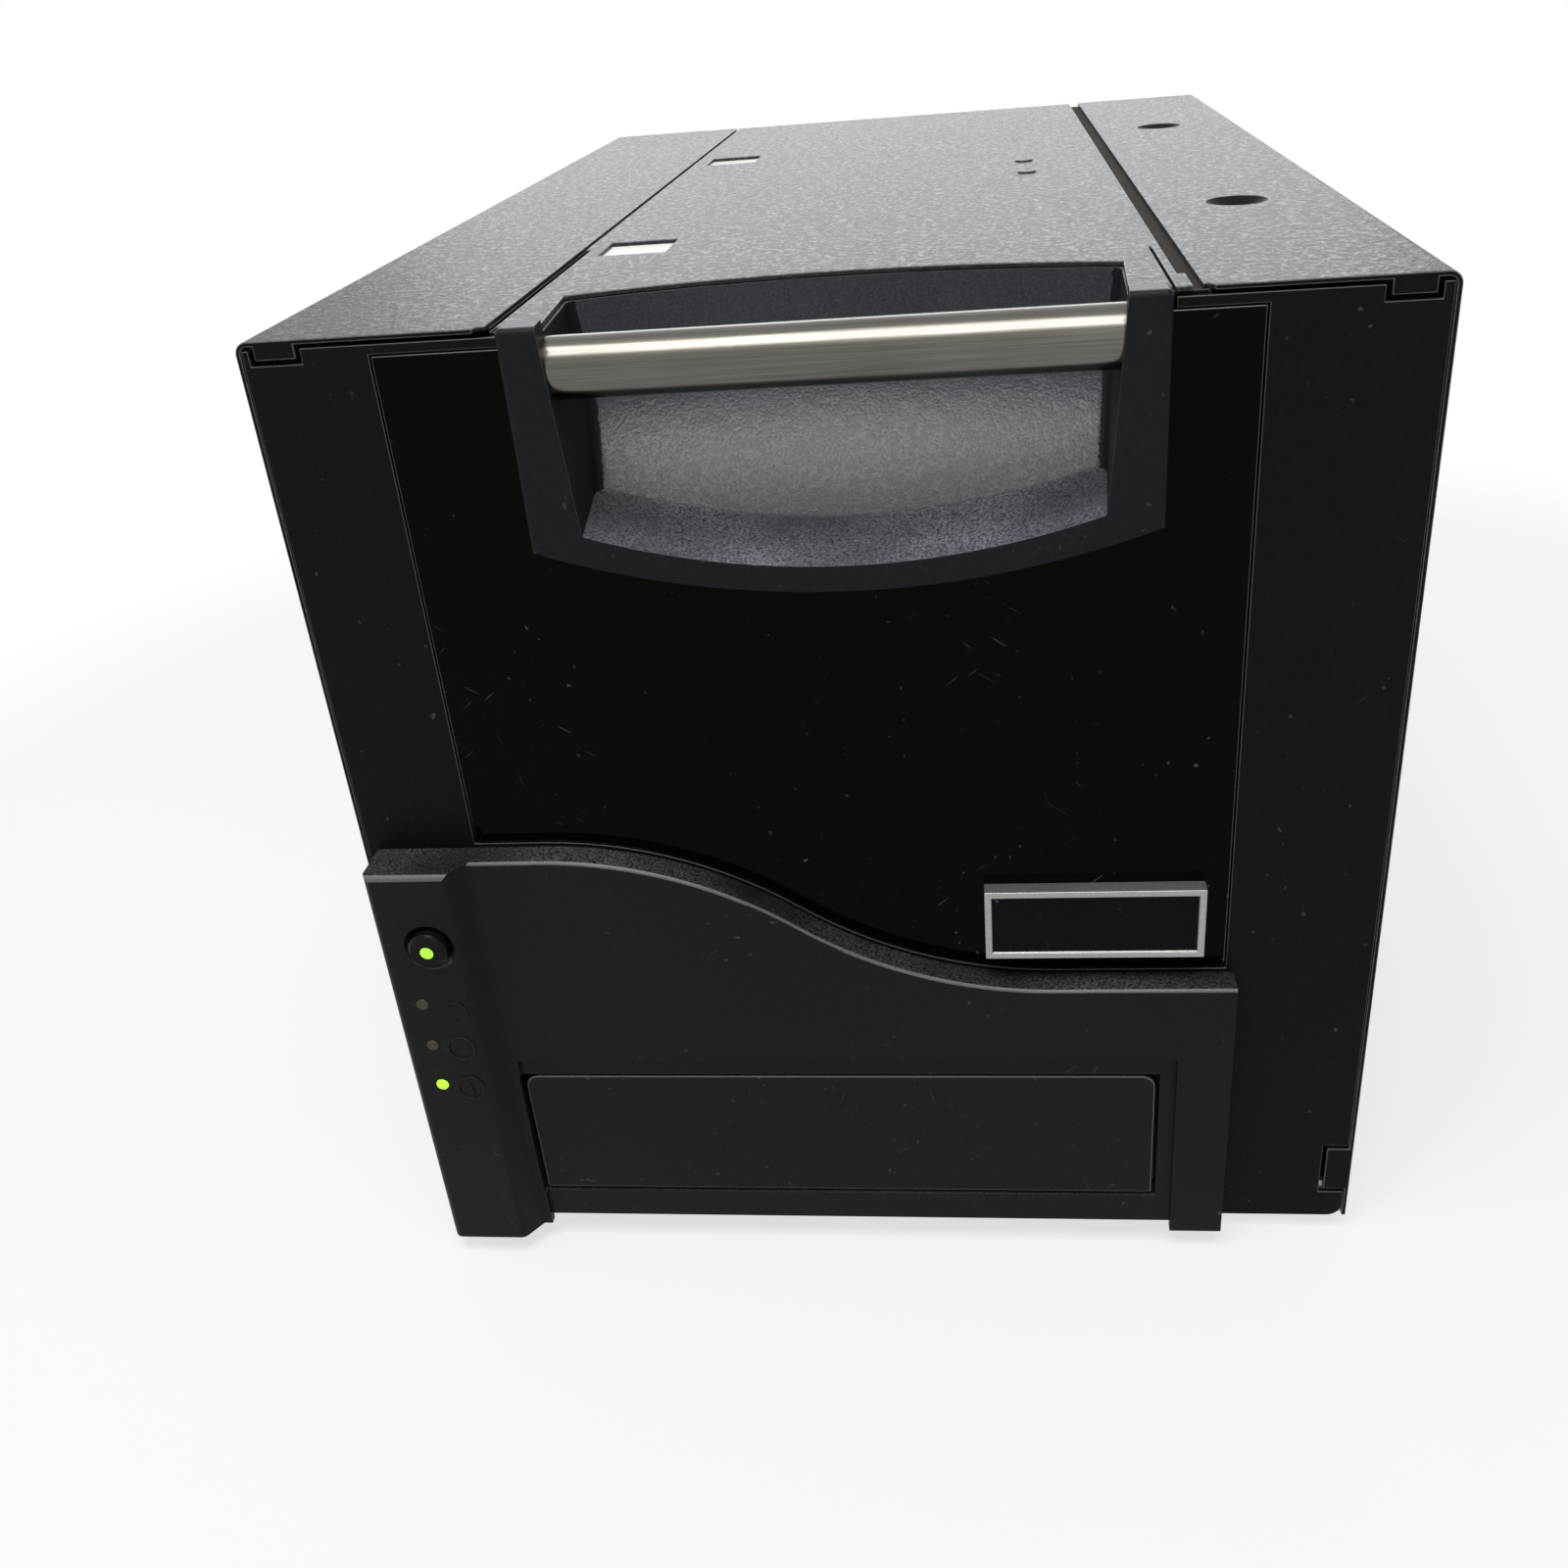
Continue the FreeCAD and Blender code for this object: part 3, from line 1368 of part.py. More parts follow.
def lift_screw():
    return round_z((disc_centre_x, post_y), screw_radius,
                   (carriage_z[1] + lift_screw_gaps[0], mast_top - lift_screw_gaps[1]))


def lift_platform():
    centre = (disc_centre_x, disc_centre_y)
    low = platform_top - platform_thickness
    plate = round_z(centre, platform_radius, (low, platform_top))
    hub = round_z(centre, hub_radius, (low, platform_top + hub_height))
    slider_z = (carriage_z[1] + slider_float, carriage_z[1] + slider_float + slider_height)
    arm_x = (disc_centre_x - lift_arm_width / 2, disc_centre_x + lift_arm_width / 2)
    arm = slab(arm_x, (disc_centre_y + platform_radius - lift_arm_overlap[0],
                       slider_y[0] + lift_arm_overlap[1]),
               (slider_z[1] - lift_arm_foot, platform_top))
    beside = post_radius + slider_margin
    slider_x = (post_x[0] - beside, post_x[1] + beside)
    slider = slab(slider_x, slider_y, slider_z)
    for x in post_x:
        slider = slider.cut(round_z((x, post_y), post_radius + rod_clearance, past(slider_z)))
    slider = slider.cut(round_z((disc_centre_x, post_y), screw_radius + rod_clearance,
                                past(slider_z)))
    return fuse_all(plate, hub, arm, slider)


# Electrics

def power_supply():
    """The supply's sheet can on the base pan's left side, with vents in its long side."""
    x0 = -plate_half + frame_sheet + supply_gap
    width, length, height = supply_size
    block = slab((x0, x0 + width), (supply_y, supply_y + length),
                 (frame_sheet, frame_sheet + height))
    sheet = cover_sheet
    block = block.cut(slab((x0 + sheet, x0 + width - sheet),
                           (supply_y + sheet, supply_y + length - sheet),
                           (frame_sheet + sheet, frame_sheet + height - sheet)))
    for step in range(supply_vents):
        y = supply_y + supply_margin + step * supply_vent_pitch
        block = block.cut(slab((x0 + width - 2 * sheet, x0 + width + over),
                               (y, y + supply_vent_pitch / 2),
                               (frame_sheet + supply_margin,
                                frame_sheet + height - supply_margin)))
    return block


def main_board():
    """The control board on four spacers, with its larger components."""
    board = slab((board_x, board_x + board_sheet), board_y, board_z)
    wall_face = right_wall_in + frame_sheet
    for y in (board_y[0] + standoff_inset, board_y[1] - standoff_inset):
        for z in (board_z[0] + standoff_inset, board_z[1] - standoff_inset):
            board = board.fuse(round_x((y, z), standoff_radius, (wall_face, board_x)))
    face = board_x + board_sheet
    middle = (board_y[0] + board_y[1]) / 2
    centre_z = (board_z[0] + board_z[1]) / 2
    board = board.fuse(slab((face, face + chip_height),
                            (middle - chip_size / 2, middle + chip_size / 2),
                            (centre_z - chip_size / 2, centre_z + chip_size / 2)))
    wide, long, high = relay_size
    for step in range(part_count):
        y = board_y[0] + 2 * standoff_inset + step * relay_pitch
        board = board.fuse(slab((face, face + high), (y, y + wide),
                                (board_z[1] - long - standoff_inset,
                                 board_z[1] - standoff_inset)))
        y = board_y[1] - 2 * standoff_inset - step * capacitor_pitch
        board = board.fuse(round_x((y, board_z[0] + standoff_inset + capacitor_radius),
                                   capacitor_radius, (face, face + capacitor_height)))
    return board.removeSplitter()


def fan_screw_places():
    for dx in (-fan_screw_spread / 2, fan_screw_spread / 2):
        for dz in (-fan_screw_spread / 2, fan_screw_spread / 2):
            yield fan_x + dx, fan_z + dz


fan_y = (rear_y - fan_depth, rear_y)
fan_struts_y = (fan_y[0], fan_y[0] + fan_strut[1])


def fan_frame():
    outer = slab((fan_x - fan_size / 2, fan_x + fan_size / 2), fan_y,
                 (fan_z - fan_size / 2, fan_z + fan_size / 2))
    at = (fan_x, fan_z)
    frame = outer.cut(round_y(at, fan_bore_radius, past(fan_y)))
    for turn in (0, 90):
        spoke = slab(past((-fan_bore_radius, fan_bore_radius)), fan_struts_y,
                     (-fan_strut[0] / 2, fan_strut[0] / 2))
        spoke.rotate(Vector(0, 0, 0), Vector(0, 1, 0), turn)
        spoke.translate(Vector(fan_x, 0, fan_z))
        frame = frame.fuse(spoke)
    frame = frame.fuse(round_y(at, fan_hub_radius - fan_hub_rim, fan_struts_y))
    frame = frame.fuse(round_y(at, fan_shaft_radius, (fan_y[0], fan_y[1] - fan_shaft_setback)))
    for corner in fan_screw_places():
        frame = frame.cut(round_y(corner, fan_screw_hole, past(fan_y)))
    return frame.removeSplitter()


def fan_rotor():
    at = (fan_x, fan_z)
    y = (fan_struts_y[1] + fan_rotor_gaps[0], fan_y[1] - fan_rotor_gaps[1])
    rotor = round_y(at, fan_hub_radius, y)
    for blade in range(fan_blades):
        vane = slab((0, fan_blade_radius), (y[0] + fan_blade_inset, y[1] - fan_blade_inset),
                    (-fan_blade_sheet / 2, fan_blade_sheet / 2))
        vane.rotate(Vector(0, (y[0] + y[1]) / 2, 0), Vector(1, 0, 0), fan_blade_lean)
        vane.rotate(Vector(0, 0, 0), Vector(0, 1, 0), 360 * blade / fan_blades)
        vane.translate(Vector(fan_x, 0, fan_z))
        rotor = rotor.fuse(vane)
    swept = round_y(at, fan_blade_radius, y)
    rotor = rotor.common(swept)
    bore = round_y(at, fan_shaft_radius + shaft_clearance,
                   (y[0] - over, fan_y[1] - fan_shaft_setback + fan_bore_gap))
    return rotor.cut(bore)


inlet_y = (rear_y - socket_depth - inlet_wall, case_depth + inlet_lip[1])
socket_z = inlet_z - socket_drop
rocker_z = inlet_z + rocker_rise


def power_inlet():
    """Mains inlet with its three pins and the opening and pins' seats for the switch."""
    half_x, half_z = inlet_size[0] / 2, inlet_size[1] / 2
    body = slab((inlet_x - half_x + inlet_gap, inlet_x + half_x - inlet_gap),
                (inlet_y[0], case_depth),
                (inlet_z - half_z + inlet_gap, inlet_z + half_z - inlet_gap))
    lip = slab((inlet_x - half_x - inlet_lip[0], inlet_x + half_x + inlet_lip[0]),
               (case_depth, inlet_y[1]),
               (inlet_z - half_z - inlet_lip[0], inlet_z + half_z + inlet_lip[0]))
    shape = fuse_all(body, lip)
    socket_y = (inlet_y[1] - socket_depth, inlet_y[1] + over)
    socket = slab((inlet_x - socket_size[0] / 2, inlet_x + socket_size[0] / 2), socket_y,
                  (socket_z - socket_size[1] / 2, socket_z + socket_size[1] / 2))
    shape = shape.cut(socket)
    pin_x, pin_y, pin_z = pin_size
    for dx, dz in ((-pin_spread / 2, -pin_offset), (pin_spread / 2, -pin_offset),
                   (0.0, pin_offset)):
        shape = shape.fuse(slab((inlet_x + dx - pin_x / 2, inlet_x + dx + pin_x / 2),
                                (socket_y[0] - over, socket_y[0] + pin_y),
                                (socket_z + dz - pin_z / 2, socket_z + dz + pin_z / 2)))
    well = slab((inlet_x - rocker_opening[0] / 2, inlet_x + rocker_opening[0] / 2),
                (inlet_y[1] - rocker_well_depth, inlet_y[1] + over),
                (rocker_z - rocker_opening[1] / 2, rocker_z + rocker_opening[1] / 2))
    shape = shape.cut(well)
    seat = round_x((rocker_axis_y, rocker_z), rocker_pin_radius + rocker_pin_clearance,
                   (inlet_x - rocker_opening[0] / 2 - rocker_seat,
                    inlet_x + rocker_opening[0] / 2 + rocker_seat))
    return shape.cut(seat).removeSplitter()


rocker_axis_y = inlet_y[1] - rocker_axis_depth


def rocker():
    """A rocker cap whose two sides meet over its pin, tilted to the side that is pressed in."""
    width = rocker_opening[0] - 2 * rocker_clearance
    tall = rocker_opening[1] / 2 - rocker_end_gap
    front = rocker_axis_y + rocker_rise_out
    foot = rocker_axis_y - rocker_foot
    path = [(foot, rocker_z - tall + rocker_slant), (front, rocker_z - tall + rocker_tip),
            (front - rocker_dip, rocker_z), (front, rocker_z + tall - rocker_tip),
            (foot, rocker_z + tall - rocker_slant)]
    cap = prism_x(path, (inlet_x - width / 2, inlet_x + width / 2))
    pin = round_x((rocker_axis_y, rocker_z), rocker_pin_radius,
                  (inlet_x - rocker_opening[0] / 2 - rocker_pin_reach,
                   inlet_x + rocker_opening[0] / 2 + rocker_pin_reach))
    shape = fuse_all(cap, pin)
    shape.rotate(Vector(inlet_x, rocker_axis_y, rocker_z), Vector(1, 0, 0), rocker_tilt)
    return shape


def data_port():
    width, height, depth = port_size
    body = slab((port_x - width / 2 + port_gap, port_x + width / 2 - port_gap),
                (case_depth - depth, case_depth),
                (port_z - height / 2 + port_gap, port_z + height / 2 - port_gap))
    hole_y = (case_depth - port_depth, case_depth + over)
    hole = slab((port_x - port_hole[0] / 2, port_x + port_hole[0] / 2), hole_y,
                (port_z - port_hole[1] / 2, port_z + port_hole[1] / 2))
    tongue = slab((port_x - port_tongue[0] / 2, port_x + port_tongue[0] / 2),
                  (hole_y[0] - port_tongue_root, case_depth - port_tongue_setback),
                  (port_z - port_tongue[1] / 2, port_z + port_tongue[1] / 2))
    return fuse_all(body.cut(hole), tongue)


def screw(at, towards):
    """A pan-head screw whose head stands on a surface at the point and faces towards."""
    head = Part.makeCylinder(screw_head_radius, screw_head_height, at, towards)
    return head.fuse(Part.makeCylinder(screw_shank_radius, screw_shank_length, at, towards * -1))


screw_rows = (screw_low_z, case_height / 2, case_height - screw_high_drop)


def rear_screw_places():
    for x in (-plate_half + screw_inset, plate_half - screw_inset):
        for z in screw_rows:
            yield x, z
    yield from fan_screw_places()


def rear_screws():
    back = Vector(0, 1, 0)
    return Part.makeCompound([screw(Vector(x, case_depth, z), back)
                              for x, z in rear_screw_places()])


def rear_panel_with_holes():
    panel = rear_panel()
    for at in rear_screw_places():
        panel = panel.cut(round_y(at, screw_shank_radius, past((rear_y, case_depth))))
    return panel


pieces = {
    "base_pan": base_pan,
    "rubber_feet": rubber_feet,
    "left_bay_wall": left_bay_wall,
    "right_bay_wall": right_bay_wall,
    "rear_panel": rear_panel_with_holes,
    "front_plate": front_plate,
    "left_cover": lambda: cover(-1, left_seam),
    "right_cover": right_cover,
    "top_panel": top_panel,
    "window_inserts": window_inserts,
    "lower_bezel": lower_bezel,
    "panel_board": panel_board,
    "status_lights": status_lights,
    "power_button": power_button,
    "button_lens": button_lens,
    "rear_screws": rear_screws,
    "power_supply": power_supply,
    "main_board": main_board,
    "fan_frame": fan_frame,
    "fan_rotor": fan_rotor,
    "power_inlet": power_inlet,
    "rocker_switch": rocker,
    "data_port": data_port,
    "outer_rails": outer_rails,
    "inner_rails": inner_rails,
    "tray_guides": tray_guides,
    "disc_tray": disc_tray,
    "tray_face": tray_face,
    "tray_pinion": tray_pinion,
    "drive_motors": drive_motors,
    "shuttle_rods": shuttle_rods,
    "rod_supports": rod_supports,
    "shuttle_screw": shuttle_screw,
    "shuttle_carriage": shuttle_carriage,
    "lift_screw": lift_screw,
    "lift_platform": lift_platform,
    "drawer_front": drawer_front,
    "handle_housing": handle_housing,
    "handle_bar": handle_bar,
    "badge_plate": badge,
    "drawer_chassis": drawer_chassis,
    "drawer_left_wall": drawer_left_wall,
    "drawer_right_wall": drawer_right_wall,
    "roll_motors": roll_motors,
    "film_pinion": lambda: drive_pinion(film_motor_at(), film_motor_angle),
    "ribbon_pinion": lambda: drive_pinion(ribbon_motor_at(), ribbon_motor_angle),
    "film_supply_spool": lambda: spindle(film_supply_at, film_supply_radius),
    "film_supply_roll": lambda: wound_web(film_supply_at, film_supply_radius),
    "film_takeup_spool": lambda: geared_spindle(film_takeup_at, film_takeup_radius,
                                                film_gear_teeth, film_motor_angle),
    "film_takeup_roll": lambda: wound_web(film_takeup_at, film_takeup_radius),
    "ribbon_supply_spool": lambda: spindle(ribbon_supply_at, ribbon_supply_radius),
    "ribbon_supply_roll": lambda: wound_web(ribbon_supply_at, ribbon_supply_radius),
    "ribbon_takeup_spool": lambda: geared_spindle(ribbon_takeup_at, ribbon_takeup_radius,
                                                  ribbon_gear_teeth, ribbon_motor_angle),
    "ribbon_takeup_roll": lambda: wound_web(ribbon_takeup_at, ribbon_takeup_radius),
    "platen_roller": lambda: roller(platen_at, platen_radius),
    "heated_roller": lambda: roller(heated_at, heated_radius),
    "guide_roller": lambda: roller(guide_at, guide_radius),
    "printhead": printhead,
    "head_carrier": head_carrier,
}

rear_reach = case_depth + screw_head_height
to_origin = Vector(0, -(whole_front + rear_reach) / 2, foot_height)
for name, build in pieces.items():
    shape = build()
    shape.translate(to_origin)
    shape.exportStep("parts/" + name + ".step")
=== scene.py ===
import json
import math
import bmesh
import bpy
from mathutils import Matrix, Vector


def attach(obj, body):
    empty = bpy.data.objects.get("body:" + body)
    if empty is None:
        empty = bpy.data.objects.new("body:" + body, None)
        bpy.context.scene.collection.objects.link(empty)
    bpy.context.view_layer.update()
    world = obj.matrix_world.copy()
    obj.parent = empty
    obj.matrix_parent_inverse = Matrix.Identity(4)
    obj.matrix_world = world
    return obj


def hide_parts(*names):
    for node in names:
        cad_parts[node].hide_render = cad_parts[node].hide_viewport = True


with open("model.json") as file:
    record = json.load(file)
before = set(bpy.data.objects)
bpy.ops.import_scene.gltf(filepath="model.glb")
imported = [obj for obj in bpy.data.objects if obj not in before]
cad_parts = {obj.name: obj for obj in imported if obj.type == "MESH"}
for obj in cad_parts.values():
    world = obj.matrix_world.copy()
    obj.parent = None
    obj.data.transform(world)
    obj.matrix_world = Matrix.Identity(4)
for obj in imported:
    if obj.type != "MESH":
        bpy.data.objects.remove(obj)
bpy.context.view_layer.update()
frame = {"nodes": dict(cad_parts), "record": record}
nodes = frame["nodes"]
nodeBody = {name: body for body, names in frame["record"]["behaviour"]["bodies"].items() for name in names}
nodeSlot = {part["node"]: part["material_slot"] for part in frame["record"]["subparts"]}
mm = 0.001
print("frame loaded:", len(nodes), "nodes")


def addObject(name, data):
    item = bpy.data.objects.new(name, data)
    bpy.context.scene.collection.objects.link(item)
    return item


camera = {"place": (0.03405, -0.52468, 0.33567), "turn": (61.58361, 4.40152, 5.22293), "lens": 33.9757,
          "shift": (-0.01998, -0.01442), "sensor": 36, "nearest": 0.01}


def placeCamera(spec):
    data = bpy.data.cameras.new("studioCamera")
    data.lens = spec["lens"]
    data.sensor_width = spec["sensor"]
    data.shift_x, data.shift_y = spec["shift"]
    data.clip_start = spec["nearest"]
    holder = addObject("studioCamera", data)
    holder.location = spec["place"]
    holder.rotation_euler = [math.radians(angle) for angle in spec["turn"]]
    bpy.context.scene.camera = holder


lamps = {
    "overhead": {"place": (-0.1, -0.62, 1.5), "aim": (0, -0.15, 0.22), "size": (1.0, 0.8), "power": 20},
    "rearGlow": {"place": (-0.06, 1.7, 0.75), "aim": (0, 0, 0.25), "size": (1.5, 0.7), "power": 5.6,
                 "color": (0.93, 0.965, 1.0)},
    "frontFill": {"place": (0.6, -1.5, 1.2), "aim": (0, 0, 0.12), "size": (0.9, 0.9), "power": 1.0},
    "leftRim": {"place": (-1.3, 0.1, 0.8), "aim": (0, 0, 0.15), "size": (0.5, 0.9), "power": 2.5},
}


def placeLamp(name, spec):
    data = bpy.data.lights.new(name, "AREA")
    data.shape = "RECTANGLE"
    data.size, data.size_y = spec["size"]
    data.energy = spec["power"]
    data.color = spec.get("color", (1, 1, 1))
    lamp = addObject(name, data)
    lamp.location = spec["place"]
    aim = Vector(spec["aim"]) - Vector(spec["place"])
    lamp.rotation_euler = aim.to_track_quat("-Z", "Y").to_euler()


placeCamera(camera)
for lampName, lampSpec in lamps.items():
    placeLamp(lampName, lampSpec)
bpy.context.scene.view_settings.view_transform = "Standard"


def feed(tree, socket, source):  # the source is another socket, or the value itself
    if isinstance(source, bpy.types.NodeSocket):
        tree.links.new(source, socket)
    else:
        socket.default_value = source


def addNode(tree, kind, **settings):  # a setting is one of the node's own, or else one of its inputs
    node = tree.nodes.new("ShaderNode" + kind)
    for key, value in settings.items():
        if hasattr(node, key):
            setattr(node, key, value)
        else:
            feed(tree, node.inputs[key.replace("_", " ")], value)
    return node


def mathNode(tree, operation, result, *operands):  # further operands follow in nodes of their own
    for operand in operands:
        node = addNode(tree, "Math", operation=operation)
        feed(tree, node.inputs[0], result)
        feed(tree, node.inputs[1], operand)
        result = node.outputs[0]
    return result


def objectPlace(tree):  # where a point is on its piece, so that a pattern moves with it
    return addNode(tree, "TexCoord").outputs["Object"]


mixSockets = {"factor": 0, "first": 6, "second": 7, "result": 2}  # of a Mix node for colours


def mixColours(tree, factor, first, second):  # the two are sockets, or colours of three levels
    node = addNode(tree, "Mix", data_type="RGBA")
    for key, source in (("factor", factor), ("first", first), ("second", second)):
        feed(tree, node.inputs[mixSockets[key]], (*source, 1) if isinstance(source, tuple) else source)
    return node.outputs[mixSockets["result"]]


def noiseAt(tree, vector, scale, detail):
    return addNode(tree, "TexNoise", Vector=vector, Scale=scale, Detail=detail).outputs["Fac"]


def ranged(tree, value, low, high):  # low..high becomes 0..1, clamped
    return addNode(tree, "MapRange", Value=value, From_Min=low, From_Max=high).outputs["Result"]


def pattern(tree, vector, scale, detail, low, high):
    return ranged(tree, noiseAt(tree, vector, scale, detail), low, high)


def seenDirectly(tree):  # 1 for rays from the camera, a reflection or glass, 0 for diffuse light
    rays = addNode(tree, "LightPath").outputs
    return mathNode(tree, "MAXIMUM", rays["Is Camera Ray"], rays["Is Glossy Ray"], rays["Is Transmission Ray"])


backdrop = {"color": (1.0, 1.0, 1.0, 1), "seen": 1.0, "light": 0.24}  # its strength to the eye and as a light


def hangBackdrop(spec):
    world = bpy.data.worlds.new("studioWorld")
    bpy.context.scene.world = world
    world.use_nodes = True
    tree = world.node_tree
    strength = addNode(tree, "MapRange", Value=seenDirectly(tree), To_Min=spec["light"], To_Max=spec["seen"])
    background = tree.nodes["Background"].inputs
    feed(tree, background["Strength"], strength.outputs["Result"])
    feed(tree, background["Color"], spec["color"])


hangBackdrop(backdrop)
print("camera and lights placed")


def newGroup(name, inputs, outputs):  # inputs are (name, kind, default)
    group = bpy.data.node_groups.new(name, "ShaderNodeTree")
    for socketName, kind, default in inputs:
        socket = group.interface.new_socket(socketName, in_out="INPUT", socket_type="NodeSocket" + kind)
        socket.default_value = default
    for socketName, kind in outputs:
        group.interface.new_socket(socketName, in_out="OUTPUT", socket_type="NodeSocket" + kind)
    return group, group.nodes.new("NodeGroupInput").outputs, group.nodes.new("NodeGroupOutput").inputs


grainLook = {
    # patches, cells and glints are the span of noise that becomes 0 to 1, shares weigh two patterns
    "detail": 2.5, "coarse": 0.37, "coarseDetail": 1.0, "patchDetail": 4.0, "middle": 0.5,
    "patches": (0.25, 0.75), "cells": (0.3, 0.7), "glints": (0.50, 0.60),
    "toneShares": (0.35, 0.65), "heightShares": (0.6, 0.4),
}


def weighed(tree, first, second, shares):
    return mathNode(tree, "ADD", mathNode(tree, "MULTIPLY", first, shares[0]),
                    mathNode(tree, "MULTIPLY", second, shares[1]))


def buildGrain(look):  # fine grain with broad, faint patches of tone
    group, given, result = newGroup(
        "surfaceGrain",
        [("Color", "Color", (0, 0, 0, 1)), ("Shade", "Color", (0, 0, 0, 1)), ("Grain Scale", "Float", 900),
         ("Patch Scale", "Float", 14), ("Roughness", "Float", 0.5), ("Rough Spread", "Float", 0.1),
         ("Stretch", "Vector", (1, 1, 1)), ("Sparkle", "Float", 0.0)],
        [("Color", "Color"), ("Roughness", "Float"), ("Height", "Float"), ("Coat", "Float")])
    place = objectPlace(group)
    stretched = addNode(group, "Mapping", Vector=place, Scale=given["Stretch"]).outputs["Vector"]
    grain = noiseAt(group, stretched, given["Grain Scale"], look["detail"])
    coarseScale = mathNode(group, "MULTIPLY", given["Grain Scale"], look["coarse"])
    coarse = noiseAt(group, stretched, coarseScale, look["coarseDetail"])
    patch = noiseAt(group, place, given["Patch Scale"], look["patchDetail"])
    tone = weighed(group, ranged(group, patch, *look["patches"]), ranged(group, grain, *look["cells"]),
                   look["toneShares"])
    feed(group, result["Color"], mixColours(group, tone, given["Color"], given["Shade"]))
    swing = mathNode(group, "MULTIPLY", mathNode(group, "SUBTRACT", patch, look["middle"]), given["Rough Spread"])
    feed(group, result["Roughness"], mathNode(group, "ADD", given["Roughness"], swing))
    height = weighed(group, grain, coarse, look["heightShares"])
    feed(group, result["Height"], height)
    glints = mathNode(group, "MULTIPLY", ranged(group, height, *look["glints"]), given["Sparkle"])
    feed(group, result["Coat"], glints)
    return group


useLook = {
    # a pattern is the noise's scale and detail, then the span of it that becomes 0 to 1
    "upward": (0.1, 1.0), "dustPatches": (22, 5.0, 0.30, 0.70), "dustGrains": (1500, 1.0, 0.34, 0.66),
    "dustColor": (0.33, 0.345, 0.38, 1), "specks": (420, 1.0, 0.735, 0.79), "speckPlaces": (30, 2.0, 0.45, 0.6),
    "hairs": (1.0, 1.0, 0.75, 0.80), "hairPlaces": (14, 2.0, 0.54, 0.62), "hairSize": (0.030, 0.006, 0.0008),
    "hairTurns": ((0.3, 0.5, 0.6), (0.3, 1.25, 0.6), (0.3, 2.5, 0.6)), "dulling": 0.25,
}


def buildUse(look):  # dust on upward faces (where a finish sets much of it, also painted light on the tops), specks and hairline scratches
    group, given, result = newGroup(
        "signsOfUse",
        [("Color", "Color", (0, 0, 0, 1)), ("Roughness", "Float", 0.5), ("Dust Color", "Color", look["dustColor"]),
         ("Dust", "Float", 0.1), ("Specks", "Float", 0.3), ("Scratches", "Float", 0.2)],
        [("Color", "Color"), ("Roughness", "Float")])
    place = objectPlace(group)
    facing = addNode(group, "SeparateXYZ", Vector=addNode(group, "NewGeometry").outputs["Normal"]).outputs
    dustAndLightVeil = mathNode(group, "MULTIPLY", ranged(group, facing["Z"], *look["upward"]),
                    pattern(group, place, *look["dustPatches"]), pattern(group, place, *look["dustGrains"]),
                    given["Dust"])
    specks = mathNode(group, "MULTIPLY", pattern(group, place, *look["specks"]),
                      pattern(group, place, *look["speckPlaces"]), given["Specks"])
    hairs = []
    for turn in look["hairTurns"]:
        turned = addNode(group, "Mapping", vector_type="TEXTURE", Vector=place, Rotation=turn, Scale=look["hairSize"])
        hairs.append(pattern(group, turned.outputs["Vector"], *look["hairs"]))
    lines = mathNode(group, "MULTIPLY", mathNode(group, "MAXIMUM", *hairs),
                     pattern(group, place, *look["hairPlaces"]), given["Scratches"])
    mask = mathNode(group, "MAXIMUM", dustAndLightVeil, specks, lines)
    feed(group, result["Color"], mixColours(group, mask, given["Color"], given["Dust Color"]))
    dulled = mathNode(group, "ADD", given["Roughness"], mathNode(group, "MULTIPLY", mask, look["dulling"]))
    feed(group, result["Roughness"], dulled)
    return group


surfaceGrain = buildGrain(grainLook)
signsOfUse = buildUse(useLook)
print("shader groups built")

